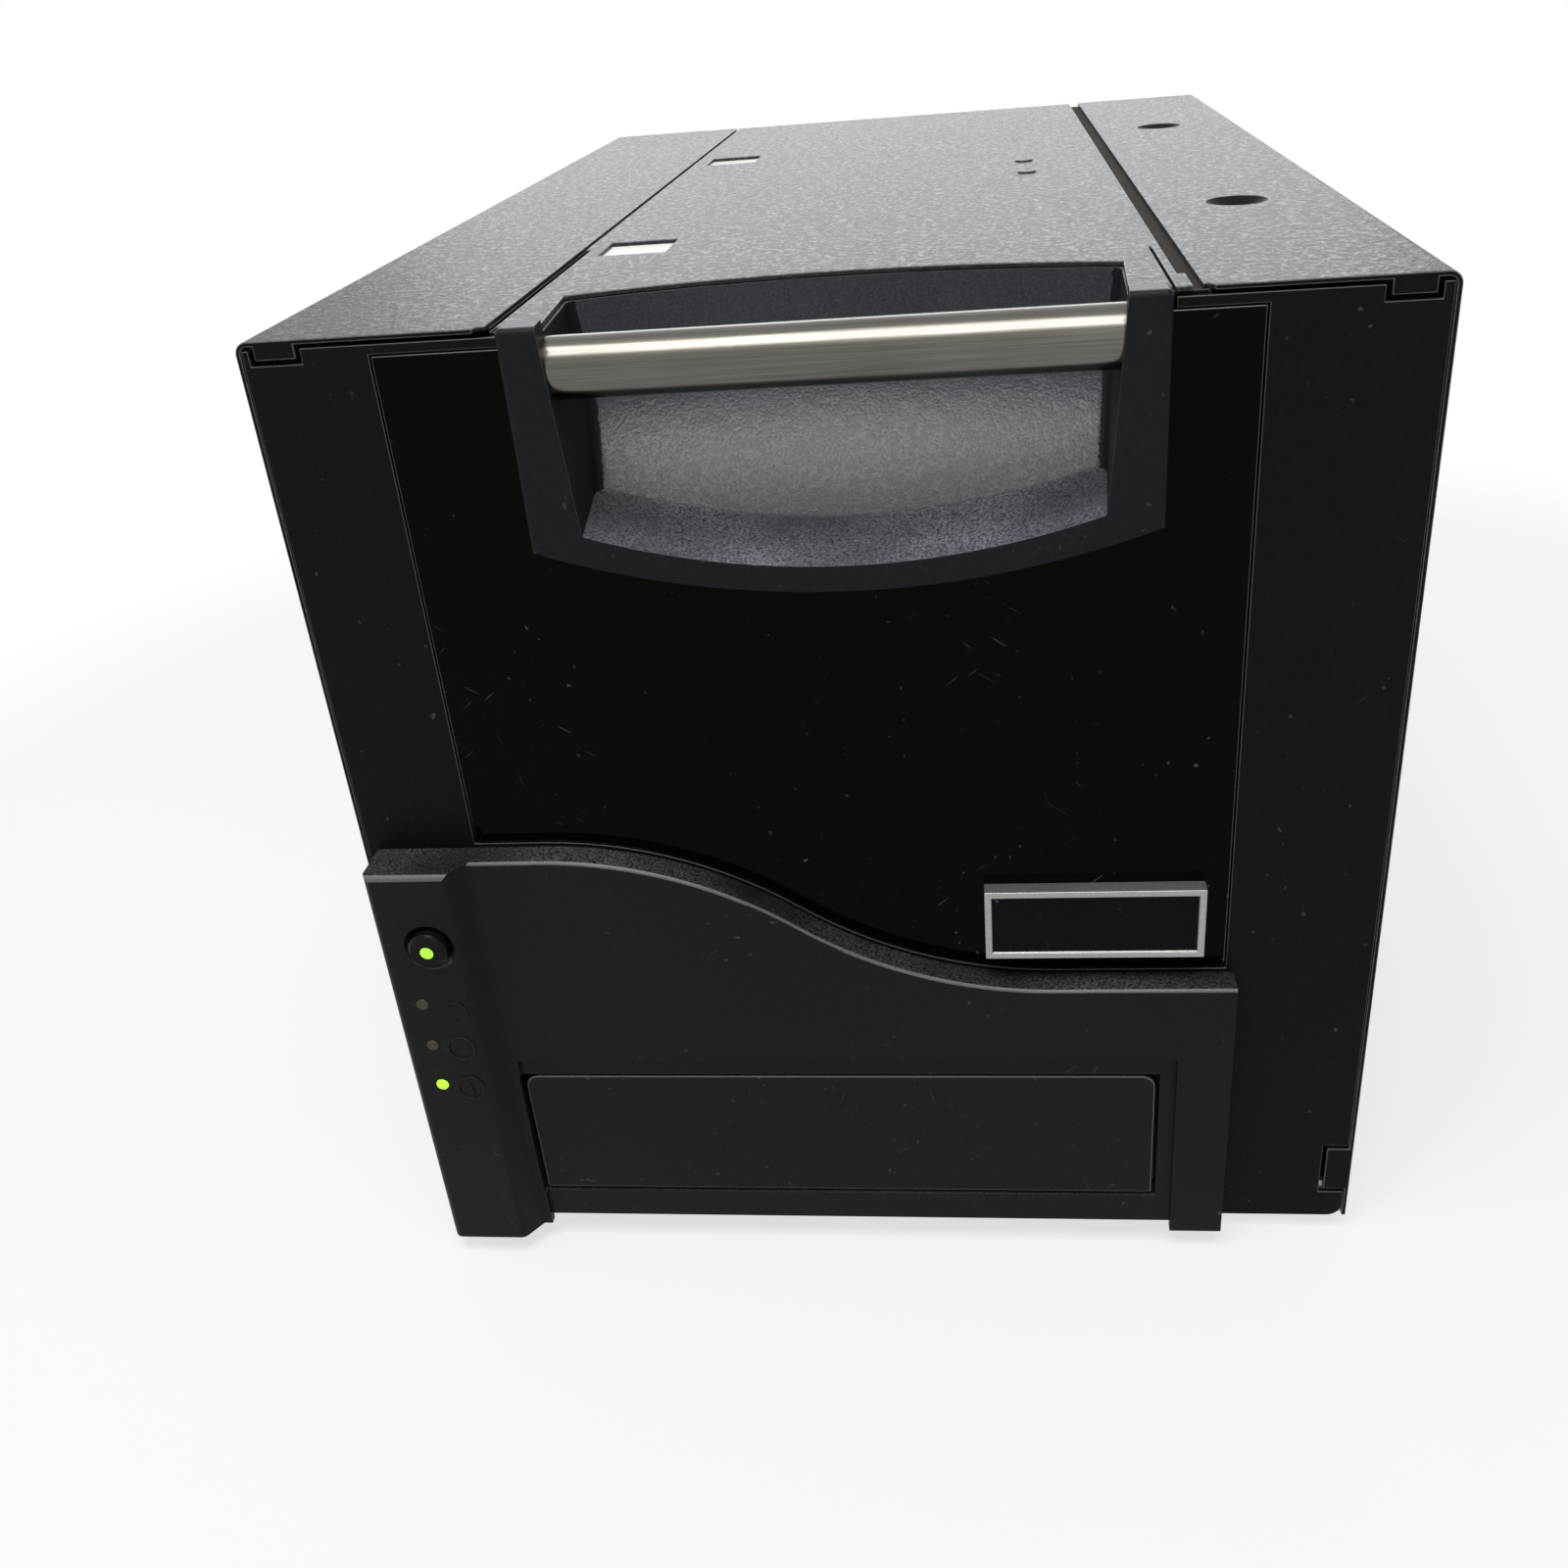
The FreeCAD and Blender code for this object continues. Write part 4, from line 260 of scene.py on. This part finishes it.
plainFinish = dict(rough=0.45, spread=0.06, grain=1300, bump=0.02, patch=14, stretch=(1, 1, 1), metal=0.0,
                   specular=0.5, coat=0.0, sparkle=0.0, dust=0.04, specks=0.2, scratches=0.1)
finishes = {
    # colour and shade are the two tones that the grain mixes, bump is in mm, grain and patch are cells to a metre
    "powder_coat_black": dict(color=(0.0068, 0.0073, 0.0086), shade=(0.0270, 0.0285, 0.0325), rough=0.39, spread=0.04,
                              grain=1120, bump=0.42, sparkle=0.42, specular=0.22, dust=0.03, specks=0.30,
                              scratches=0.05),
    "matte_black_sheet": dict(color=(0.0042, 0.0043, 0.0046), shade=(0.0072, 0.0074, 0.0078), rough=0.42, spread=0.08,
                              grain=900, bump=0.05, patch=9, specular=0.05, dust=0.03, specks=0.12, scratches=0.10),
    "seam_floor": dict(color=(0.0190, 0.0175, 0.0145), shade=(0.0310, 0.0285, 0.0240), rough=0.75, grain=900,
                       bump=0.05, specular=0.03, dust=0.04, specks=0.2, scratches=0.1),
    "gloss_black": dict(color=(0.0009, 0.0008, 0.0007), shade=(0.0022, 0.0019, 0.0015), rough=0.07, spread=0.05,
                        grain=300, bump=0.0, patch=7, specular=0.035, dust=0.015, specks=0.18, scratches=0.16),
    "slate_plastic": dict(color=(0.0070, 0.0079, 0.0102), shade=(0.0118, 0.0130, 0.0163), rough=0.44, grain=820,
                          bump=0.08, specular=0.08, dust=0.01, specks=0.10, scratches=0.05),
    # paler than slate_plastic: painted light on the lit finger space and tops, with a coarser grain
    "slate_grained": dict(color=(0.0095, 0.0115, 0.0160), shade=(0.0370, 0.0425, 0.0550), rough=0.42, grain=1500,
                          bump=0.26, patch=30, sparkle=0.16, specular=0.42, dust=0.01, specks=0.08, scratches=0.02),
    # its dust is high: the paler veil on upward faces is dust and painted light on the tops
    "satin_black_plastic": dict(color=(0.0064, 0.0063, 0.0061), shade=(0.0100, 0.0099, 0.0095), rough=0.43,
                                grain=1100, bump=0.10, specular=0.09, dust=0.26, specks=0.12, scratches=0.06),
    "sign_plastic": dict(color=(0.0100, 0.0099, 0.0096), shade=(0.0160, 0.0158, 0.0152), rough=0.36, specular=0.16,
                         bump=0.02, dust=0.0, specks=0.0, scratches=0.0),
    "steel_bar": dict(color=(0.175, 0.167, 0.150), shade=(0.095, 0.088, 0.076), rough=0.22, spread=0.10, metal=1.0,
                      grain=2100, bump=0.010, stretch=(0.012, 1, 1), patch=40, dust=0.0, specks=0.05, scratches=0.06),
    "badge_metal": dict(color=(0.42, 0.41, 0.395), shade=(0.30, 0.29, 0.28), rough=0.42, spread=0.1, metal=0.85,
                        grain=1700, bump=0.018, dust=0.0, specks=0.1, scratches=0.1),
    "badge_field": dict(color=(0.0016, 0.0016, 0.0016), shade=(0.0030, 0.0030, 0.0030), rough=0.16, grain=900,
                        bump=0.004, specular=0.06, dust=0.0, specks=0.2, scratches=0.12),
    "zinc_sheet": dict(color=(0.44, 0.45, 0.46), shade=(0.33, 0.34, 0.36), rough=0.40, spread=0.14, metal=1.0,
                       grain=420, bump=0.006, patch=130, scratches=0.2),
    "steel_shaft": dict(color=(0.56, 0.56, 0.57), shade=(0.42, 0.42, 0.43), rough=0.22, spread=0.1, metal=1.0,
                        grain=2400, bump=0.004, dust=0.02, specks=0.1),
    "white_insert": dict(color=(0.80, 0.80, 0.79), shade=(0.70, 0.70, 0.69), rough=0.6, grain=1600, patch=60,
                         dust=0.05),
    "black_rubber": dict(color=(0.016, 0.016, 0.016), shade=(0.028, 0.027, 0.026), rough=0.72, bump=0.05, dust=0.15,
                         specks=0.3, scratches=0.05),
    "roller_rubber": dict(color=(0.045, 0.043, 0.042), shade=(0.07, 0.066, 0.064), rough=0.55, grain=1500, specks=0.1,
                          scratches=0.05),
    "light_pipe": dict(color=(0.060, 0.050, 0.018), shade=(0.028, 0.023, 0.009), rough=0.22, grain=900, bump=0.004,
                       specular=0.3, dust=0.0, specks=0.0, scratches=0.0),
    "black_plastic": dict(color=(0.0030, 0.0030, 0.0032), shade=(0.0055, 0.0055, 0.0058), rough=0.22, specular=0.10,
                          bump=0.012, dust=0.02, specks=0.1, scratches=0.05),
    "tray_plastic": dict(color=(0.026, 0.027, 0.030), shade=(0.036, 0.037, 0.041), rough=0.46, bump=0.025),
    "white_nylon": dict(color=(0.66, 0.64, 0.57), shade=(0.54, 0.52, 0.46), rough=0.5, grain=900, bump=0.01, patch=60,
                        dust=0.0, specks=0.05, scratches=0.05),
    "motor_metal": dict(color=(0.20, 0.20, 0.21), shade=(0.13, 0.13, 0.14), rough=0.4, spread=0.12, metal=0.7,
                        grain=900, bump=0.012, scratches=0.2),
    "clear_film": dict(color=(0.40, 0.385, 0.33), shade=(0.30, 0.29, 0.25), rough=0.16, spread=0.1, grain=3200,
                       bump=0.004, stretch=(0.03, 1, 1), coat=0.6, dust=0.0, specks=0.0, scratches=0.05),
    "ink_ribbon": dict(color=(0.035, 0.018, 0.034), shade=(0.055, 0.026, 0.05), rough=0.22, spread=0.1, grain=3200,
                       bump=0.004, stretch=(0.03, 1, 1), coat=0.4, dust=0.0, specks=0.0, scratches=0.05),
    "print_head": dict(color=(0.40, 0.41, 0.42), shade=(0.30, 0.31, 0.32), rough=0.34, spread=0.1, metal=1.0,
                       grain=1700, bump=0.008, dust=0.0, specks=0.1),
}
# paler again on the finger space's floor: dust and painted light
finishes["slate_dusty"] = dict(finishes["slate_grained"], dust=0.80)
# the same finishes paler along an edge, as wear and as a painted highlight: how many times brighter, and what is
# added
wearAndHighlightEdges = {
    "powder_coat_black": (1.5, 0.006), "matte_black_sheet": (2.0, 0.020), "gloss_black": (2.0, 0.016),
    "slate_plastic": (1.5, 0.018), "satin_black_plastic": (2.5, 0.040),
}
wearAndHighlightLook = dict(specular=0.5, bump=0.0, patch=90)
for name, (times, more) in wearAndHighlightEdges.items():
    wearAndHighlight = {**finishes[name], **wearAndHighlightLook}
    for tone in ("color", "shade"):
        wearAndHighlight[tone] = tuple(level * times + more for level in finishes[name][tone])
    finishes[name + "_edge"] = wearAndHighlight
glintRough = 0.3  # of the thin coat that makes grained finishes glint


def startMaterial(name):
    material = bpy.data.materials.new(name)
    material.use_nodes = True
    return material, material.node_tree


def dressShader(tree, values):
    shader = tree.nodes["Principled BSDF"]
    for key, value in values.items():
        feed(tree, shader.inputs[key], value)
    return shader


def placeGroup(tree, group, values):
    node = tree.nodes.new("ShaderNodeGroup")
    node.node_tree = group
    for key, value in values.items():
        feed(tree, node.inputs[key], value)
    return node.outputs


def raisedBy(tree, height, distance):  # the distance is in mm
    return addNode(tree, "Bump", Height=height, Distance=distance * mm).outputs["Normal"]


def makeFinish(name, changes):
    spec = {**plainFinish, **changes}
    material, tree = startMaterial(name)
    grain = placeGroup(tree, surfaceGrain, {
        "Color": (*spec["color"], 1), "Shade": (*spec["shade"], 1), "Grain Scale": spec["grain"],
        "Patch Scale": spec["patch"], "Roughness": spec["rough"], "Rough Spread": spec["spread"],
        "Stretch": spec["stretch"], "Sparkle": spec["sparkle"]})
    used = placeGroup(tree, signsOfUse, {
        "Color": grain["Color"], "Roughness": grain["Roughness"], "Dust": spec["dust"], "Specks": spec["specks"],
        "Scratches": spec["scratches"]})
    values = {"Base Color": used["Color"], "Roughness": used["Roughness"], "Metallic": spec["metal"],
              "Specular IOR Level": spec["specular"], "Coat Weight": spec["coat"]}
    if spec["sparkle"]:
        values.update({"Coat Roughness": glintRough, "Coat Weight": grain["Coat"]})
    if spec["bump"]:
        values["Normal"] = raisedBy(tree, grain["Height"], spec["bump"])
    dressShader(tree, values)
    return material


materials = {name: makeFinish(name, spec) for name, spec in finishes.items()}

lenses = {"lens_green": ((0.24, 0.78, 0.020), 0.95), "led_lit": ((0.25, 0.82, 0.010), 1.15)}  # colour and strength
lensLook = {"clouds": (700.0, 2.0), "warmer": (1.5, 1.0, 2.0), "rough": 0.2}


def makeLens(name, color, strength, look):
    material, tree = startMaterial(name)
    warmer = tuple(level * times for level, times in zip(color, look["warmer"]))
    tint = mixColours(tree, noiseAt(tree, objectPlace(tree), *look["clouds"]), color, warmer)
    dressShader(tree, {"Base Color": tint, "Emission Color": tint, "Emission Strength": strength,
                       "Roughness": look["rough"]})
    return material


for name, (color, strength) in lenses.items():
    materials[name] = makeLens(name, color, strength, lensLook)

boardLook = {"lacquer": (0.010, 0.075, 0.030), "track": (0.035, 0.16, 0.06), "pad": (0.42, 0.40, 0.34), "rough": 0.34,
             "netScale": 170.0, "netEdge": (0.52, 0.56), "padScale": 210.0, "padEdge": (0.10, 0.13), "relief": 0.03}


def makeBoardFinish(look):  # lacquer over a net of square-cornered tracks, with tinned pads
    material, tree = startMaterial("circuit_board")
    place = objectPlace(tree)
    net = addNode(tree, "TexVoronoi", distance="CHEBYCHEV", feature="F2", Vector=place, Scale=look["netScale"])
    dots = addNode(tree, "TexVoronoi", distance="CHEBYCHEV", Vector=place, Scale=look["padScale"])
    tracks = ranged(tree, net.outputs["Distance"], *look["netEdge"])
    pads = mathNode(tree, "SUBTRACT", 1.0, ranged(tree, dots.outputs["Distance"], *look["padEdge"]))
    lacquer = mixColours(tree, tracks, look["lacquer"], look["track"])
    dressShader(tree, {"Base Color": mixColours(tree, pads, lacquer, look["pad"]), "Metallic": pads,
                       "Normal": raisedBy(tree, tracks, look["relief"]), "Roughness": look["rough"]})
    return material


materials["circuit_board"] = makeBoardFinish(boardLook)
for name, node in nodes.items():
    node.data.materials.clear()
    node.data.materials.append(materials[nodeSlot[name]])
print("finishes made:", len(materials))


def makeMesh(name, build):
    mesh = bpy.data.meshes.new(name)
    build.to_mesh(mesh)
    build.free()
    return mesh


floorLook = {"size": 40.0, "color": (0.80, 0.80, 0.80), "shade": (0.78, 0.78, 0.785), "clouds": (5.0, 3.0),
             "rough": 0.6, "near": 0.20, "far": 0.62, "nearWhite": 0.68}  # white spreads from near to far, in metres


def layFloor(spec):
    build = bmesh.new()
    bmesh.ops.create_grid(build, x_segments=1, y_segments=1, size=spec["size"])
    floor = addObject("studioFloor", makeMesh("studioFloor", build))
    material, tree = startMaterial("paleFloor")
    place = objectPlace(tree)
    tone = mixColours(tree, noiseAt(tree, place, *spec["clouds"]), spec["color"], spec["shade"])
    shader = dressShader(tree, {"Base Color": tone, "Roughness": spec["rough"]})
    distance = addNode(tree, "VectorMath", operation="LENGTH", Vector=place).outputs["Value"]
    spread = ranged(tree, distance, spec["near"], spec["far"])
    white = mathNode(tree, "MULTIPLY", mathNode(tree, "MAXIMUM", spread, spec["nearWhite"]), seenDirectly(tree))
    shine = addNode(tree, "Emission", Strength=1.0)
    blend = addNode(tree, "MixShader")
    for socket, source in zip(blend.inputs, (white, shader.outputs[0], shine.outputs[0])):
        feed(tree, socket, source)
    feed(tree, tree.nodes["Material Output"].inputs["Surface"], blend.outputs[0])
    floor.data.materials.append(material)


layFloor(floorLook)
print("floor laid")


def addPiece(name, build, body, slotName, materialNames=None, hides=()):
    mesh = makeMesh(name, build)
    piece = addObject(name, mesh)
    for materialName in materialNames or [slotName]:
        mesh.materials.append(materials[materialName])
    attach(piece, body)
    if hides:
        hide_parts(*hides)
    return piece


softEdges = {
    # node: (bevel width in mm, segments, finish if not the slot's own)
    "left_cover": (0.35, 2, None), "right_cover": (0.35, 2, None), "top_panel": (0.3, 2, None),
    "front_plate": (0.28, 2, None), "rear_panel": (0.2, 1, None), "drawer_front": (0.3, 2, None),
    "lower_bezel": (0.5, 3, "satin_black_plastic"), "tray_face": (0.5, 3, "satin_black_plastic"),
    "handle_housing": (0.45, 3, None), "handle_bar": (0.3, 2, None), "power_button": (0.35, 3, None),
    "power_inlet": (0.4, 2, None), "rocker_switch": (0.4, 3, None), "data_port": (0.2, 2, None),
    "disc_tray": (0.15, 2, None), "rubber_feet": (0.8, 3, None), "left_bay_wall": (0.2, 1, None),
    "right_bay_wall": (0.2, 1, None),
}
merging = {"distance": 0.002 * mm, "flat": math.radians(0.8)}
softening = {"angle": math.radians(28), "weight": 100}
straight = 0.9  # a face looks straight along an axis when its normal goes at least this far that way
finishPlace = {"wearAndHighlight": 1, "extra": 2, "dustAndLight": 3}  # in a piece's list of finishes, after its own


def mergedCopy(name):  # a copy of a node's mesh with its corners joined and its flat faces whole
    build = bmesh.new()
    build.from_mesh(nodes[name].data)
    bmesh.ops.remove_doubles(build, verts=build.verts, dist=merging["distance"])
    bmesh.ops.dissolve_limit(build, angle_limit=merging["flat"], verts=build.verts, edges=build.edges)
    for face in build.faces:
        face.smooth = True
    return build


hollow = {"x": (-62.5, 66.5), "z": (206.0, 270.8), "behind": -207.7, "topBand": 3.0, "level": 0.88, "ends": 0.5,
          "front": 0.3, "under": -0.2}


def paintHollow(build):  # the finger space and the tops have a coarser, sparkling grain in a paler tone, painted light; its floor is paler still, dust and painted light
    left, right, low, high = (value * mm for value in (*hollow["x"], *hollow["z"]))
    for face in build.faces:
        place, facing = face.calc_center_median(), face.normal
        if facing.z > straight and place.z > high - hollow["topBand"] * mm:
            face.material_index = finishPlace["extra"]
        inside = left < place.x < right and low < place.z < high and place.y > hollow["behind"] * mm
        looksIn = abs(facing.x) < hollow["ends"] and facing.y < hollow["front"] and facing.z > hollow["under"]
        if inside and looksIn:
            face.material_index = finishPlace["dustAndLight" if facing.z > hollow["level"] else "extra"]


def topOf(build):
    return max(vert.co.z for vert in build.verts)


dimples = {"deepest": 8.0, "shallowest": 0.3, "slope": 0.1}  # depths in mm under the cover's top


def paintCoverShade(build):  # the tabs' fronts and the floors of the dimples are darker and duller than the coated sheet: painted shade
    low, high = (topOf(build) - dimples[key] * mm for key in ("deepest", "shallowest"))
    for face in build.faces:
        inDimple = face.normal.z > dimples["slope"] and low < face.calc_center_median().z < high
        if face.normal.y < -straight or inDimple:
            face.material_index = finishPlace["extra"]


ledgeBand = 0.5  # mm down from a wall's top


def paintLedges(build):  # the seams' floors lie in shade and hold no shine
    low = topOf(build) - ledgeBand * mm
    for face in build.faces:
        if face.normal.z > straight and face.calc_center_median().z > low:
            face.material_index = finishPlace["extra"]


rim = {"front": -0.42, "up": (0.42, 0.95)}


def paintRimHighlight(build):  # the rounded rim along the bezel's top takes the paler edge finish, a painted highlight along the rim
    for face in build.faces:
        if face.normal.y < rim["front"] and rim["up"][0] < face.normal.z < rim["up"][1]:
            face.material_index = finishPlace["wearAndHighlight"]


painters = {
    # node: (what picks its faces, the finishes that follow its own and the paler edge one)
    "handle_housing": (paintHollow, ["slate_grained", "slate_dusty"]), "lower_bezel": (paintRimHighlight, []),
    "left_cover": (paintCoverShade, ["matte_black_sheet"]), "right_cover": (paintCoverShade, ["matte_black_sheet"]),
    "left_bay_wall": (paintLedges, ["seam_floor"]), "right_bay_wall": (paintLedges, ["seam_floor"]),
}


def flattenFaces(piece):  # a large face keeps its own shading up to a rounded edge
    flatten = piece.modifiers.new("flatFaces", "WEIGHTED_NORMAL")
    flatten.weight = softening["weight"]
    flatten.keep_sharp = True


def softBevel(piece, width, segments, material=-1):
    bevel = piece.modifiers.new("softEdge", "BEVEL")
    bevel.width = width * mm
    bevel.segments = segments
    bevel.limit_method = "ANGLE"
    bevel.angle_limit = softening["angle"]
    bevel.use_clamp_overlap = True
    bevel.material = material
    flattenFaces(piece)


def softenNode(name, width, segments, finish):
    build = mergedCopy(name)
    finish = finish or nodeSlot[name]
    wearAndHighlight = finish + "_edge" in materials
    names = [finish, finish + "_edge"] if wearAndHighlight else [finish]
    if name in painters:
        paint, more = painters[name]
        paint(build)
        names = [finish, names[-1], *more]
    piece = addPiece(name + "_soft", build, nodeBody[name], nodeSlot[name], names, hides=[name])
    # the bevel's faces take the paler edge finish: wear and a painted highlight along every softened edge
    softBevel(piece, width, segments, finishPlace["wearAndHighlight"] if wearAndHighlight else -1)


for name, (width, segments, finish) in softEdges.items():
    softenNode(name, width, segments, finish)
print("edges softened:", len(softEdges))

badgeLook = {"edge": 0.25, "segments": 2, "fieldDepth": 0.1}


def dressBadge(spec):  # a plated rim round a dark, bare field
    build = mergedCopy("badge_plate")
    front = min(vert.co.y for vert in build.verts)
    for face in build.faces:
        inField = face.calc_center_median().y > front + spec["fieldDepth"] * mm
        face.material_index = int(face.normal.y < -straight and inField)
    piece = addPiece("badge_dressed", build, "drawer", "badge_metal", ["badge_metal", "badge_field"],
                     hides=["badge_plate"])
    softBevel(piece, spec["edge"], spec["segments"])


dressBadge(badgeLook)

lightsLook = {"lit": 1, "pitch": 14.1, "tip": 0.4, "segments": 3}  # lit counts from the lowest light up


def dressLights(spec):
    build = mergedCopy("status_lights")
    pitch = spec["pitch"] * mm
    heights = sorted({round(vert.co.z / pitch) for vert in build.verts})
    for face in build.faces:
        step = heights.index(round(face.calc_center_median().z / pitch))
        face.material_index = int(step < spec["lit"])
    piece = addPiece("lights_dressed", build, "case", "light_pipe", ["light_pipe", "led_lit"],
                     hides=["status_lights"])
    softBevel(piece, spec["tip"], spec["segments"])


dressLights(lightsLook)
print("badge and lights dressed")

signs = {
    # one raised line beside each light: centre (x, z), radius, the arc's span in degrees, and bars as end points
    "signArch": {"centre": (-112.9, 90.6), "radius": 3.9, "span": (-28, 118),
                 "bars": [((-1.6, 1.9), (0.3, 1.8)), ((0.0, -2.5), (0.9, -2.5))]},
    "signRing": {"centre": (-113.0, 78.7), "radius": 3.8, "span": (0, 360), "bars": []},
    "signRingBar": {"centre": (-113.0, 64.6), "radius": 3.8, "span": (0, 360), "bars": [((-0.2, 1.9), (0.5, -2.6))]},
}
signLine = {"width": 0.46, "crown": 0.55, "height": 0.38, "sink": 0.05, "face": -213.56, "steps": 72}


def lineSection(build, x, z, outX, outZ):  # the line's cross-section, narrower at its crown
    half, high, sink = signLine["width"] / 2 * mm, signLine["height"] * mm, signLine["sink"] * mm
    crown, face = half * signLine["crown"], signLine["face"] * mm
    corners = [build.verts.new((x + outX * side, face + depth, z + outZ * side))
               for side, depth in ((-half, sink), (-crown, -high), (crown, -high), (half, sink))]
    return corners, [build.edges.new((corners[index - 1], corners[index])) for index in range(len(corners))]


def raiseSign(name, spec):
    build = bmesh.new()
    x0, z0, radius = (value * mm for value in (*spec["centre"], spec["radius"]))
    start, end = (math.radians(angle) for angle in spec["span"])
    outX, outZ = math.cos(start), math.sin(start)
    corners, edges = lineSection(build, x0 + radius * outX, z0 + radius * outZ, outX, outZ)
    bmesh.ops.spin(build, geom=corners + edges, cent=(x0, 0, z0), axis=(0, -1, 0), angle=end - start,
                   steps=signLine["steps"], use_merge=spec["span"] == (0, 360))
    for (ax, az), (bx, bz) in spec["bars"]:
        run = math.hypot(bx - ax, bz - az)
        corners, edges = lineSection(build, x0 + ax * mm, z0 + az * mm, (bz - az) / run, -(bx - ax) / run)
        made = bmesh.ops.extrude_edge_only(build, edges=edges)["geom"]
        far = [item for item in made if isinstance(item, bmesh.types.BMVert)]
        bmesh.ops.translate(build, verts=far, vec=((bx - ax) * mm, 0, (bz - az) * mm))
    bmesh.ops.holes_fill(build, edges=[edge for edge in build.edges if edge.is_boundary], sides=4)
    bmesh.ops.recalc_face_normals(build, faces=build.faces)
    addPiece(name, build, "case", "satin_black_plastic", ["sign_plastic"])


for name, spec in signs.items():
    raiseSign(name, spec)
print("signs raised:", len(signs))


def addStud(build, place, radius, spec):  # a low round stud with a rounded rim, its root sunk below its place
    low = bmesh.ops.create_circle(build, cap_ends=True, radius=radius, segments=spec["segments"])["verts"]
    made = bmesh.ops.extrude_face_region(build, geom=low[0].link_faces[:])
    top = [item for item in made["geom"] if isinstance(item, bmesh.types.BMFace)][0]
    corners, sink = list(top.verts), spec["sink"] * mm
    bmesh.ops.translate(build, verts=low + corners, vec=Vector(place) - Vector((0, 0, sink)))
    bmesh.ops.translate(build, verts=corners, vec=(0, 0, spec["proud"] * mm + sink))
    bmesh.ops.bevel(build, geom=top.edges[:], offset=spec["round"] * mm, affect="EDGES",
                    segments=spec["roundSegments"], profile=0.5, material=-1, clamp_overlap=True)


screwLook = {"segments": 32, "proud": 1.6, "sink": 0.2, "round": 0.9, "roundSegments": 4, "crossHalf": 0.40,
             "crossReach": 0.56, "depth": 0.9, "taper": 0.6, "level": 0.999}  # level tells the flat top's faces


def screwHead(radius, spec):  # a round head with a cross recess, upright on the origin
    build = bmesh.new()
    addStud(build, (0, 0, 0), radius, spec)
    reach, half = radius * spec["crossReach"], spec["crossHalf"] * mm
    for axis in ((1, 0, 0), (0, 1, 0)):
        for place in (-reach, -half, half, reach):
            flat = [face for face in build.faces if face.normal.z > spec["level"]]
            # each part once, in the order it is met
            parts = dict.fromkeys(part for face in flat for part in (face, *face.edges, *face.verts))
            bmesh.ops.bisect_plane(build, geom=list(parts), plane_co=Vector(axis) * place, plane_no=axis)
    cross = []
    for face in build.faces:
        place = face.calc_center_median()
        thin, wide = sorted((abs(place.x), abs(place.y)))
        if face.normal.z > spec["level"] and thin < half and wide < reach:
            cross.append(face)
    made = bmesh.ops.extrude_face_region(build, geom=cross)["geom"]
    bmesh.ops.delete(build, geom=cross, context="FACES")
    low = [item for item in made if isinstance(item, bmesh.types.BMVert)]
    bmesh.ops.translate(build, verts=low, vec=(0, 0, -spec["depth"] * mm))
    bmesh.ops.scale(build, verts=low, vec=(spec["taper"], spec["taper"], 1))
    bmesh.ops.recalc_face_normals(build, faces=build.faces)
    return build


def islands(build):  # the corners of each separate solid
    seen = set()
    for start in build.verts:
        if start in seen:
            continue
        seen.add(start)
        island = [start]
        for vert in island:  # grows while it is read
            for edge in vert.link_edges:
                other = edge.other_vert(vert)
                if other not in seen:
                    seen.add(other)
                    island.append(other)
        yield [vert.co for vert in island]


def dressScrews(spec):
    loose = mergedCopy("rear_screws")
    build = bmesh.new()
    for island in islands(loose):
        (left, right), (_, rear), (low, high) = ((min(side), max(side)) for side in zip(*island))
        head = screwHead((right - left) / 2, spec)
        bmesh.ops.rotate(head, verts=head.verts, cent=(0, 0, 0), matrix=Matrix.Rotation(-math.pi / 2, 3, "X"))
        centre = ((left + right) / 2, rear - spec["proud"] * mm, (low + high) / 2)
        bmesh.ops.translate(head, verts=head.verts, vec=centre)
        single = makeMesh("screwHead", head)
        build.from_mesh(single)
        bpy.data.meshes.remove(single)
    loose.free()
    addPiece("screw_heads", build, nodeBody["rear_screws"], nodeSlot["rear_screws"], hides=["rear_screws"])


dressScrews(screwLook)
print("screws dressed")

weldMarks = {"places": ((50.9, 23.0, 270.0), (50.9, -6.0, 270.0)), "radius": 3.1, "proud": 0.55, "sink": 0.15,
             "round": 0.5, "roundSegments": 4, "segments": 32}


def raiseMarks(spec):  # two low round marks in the top panel, where something is welded on below
    build = bmesh.new()
    for place in spec["places"]:
        addStud(build, Vector(place) * mm, spec["radius"] * mm, spec)
    bmesh.ops.recalc_face_normals(build, faces=build.faces)
    for face in build.faces:
        face.smooth = True
    flattenFaces(addPiece("weld_marks", build, "case", "powder_coat_black"))


raiseMarks(weldMarks)
print("weld marks raised")
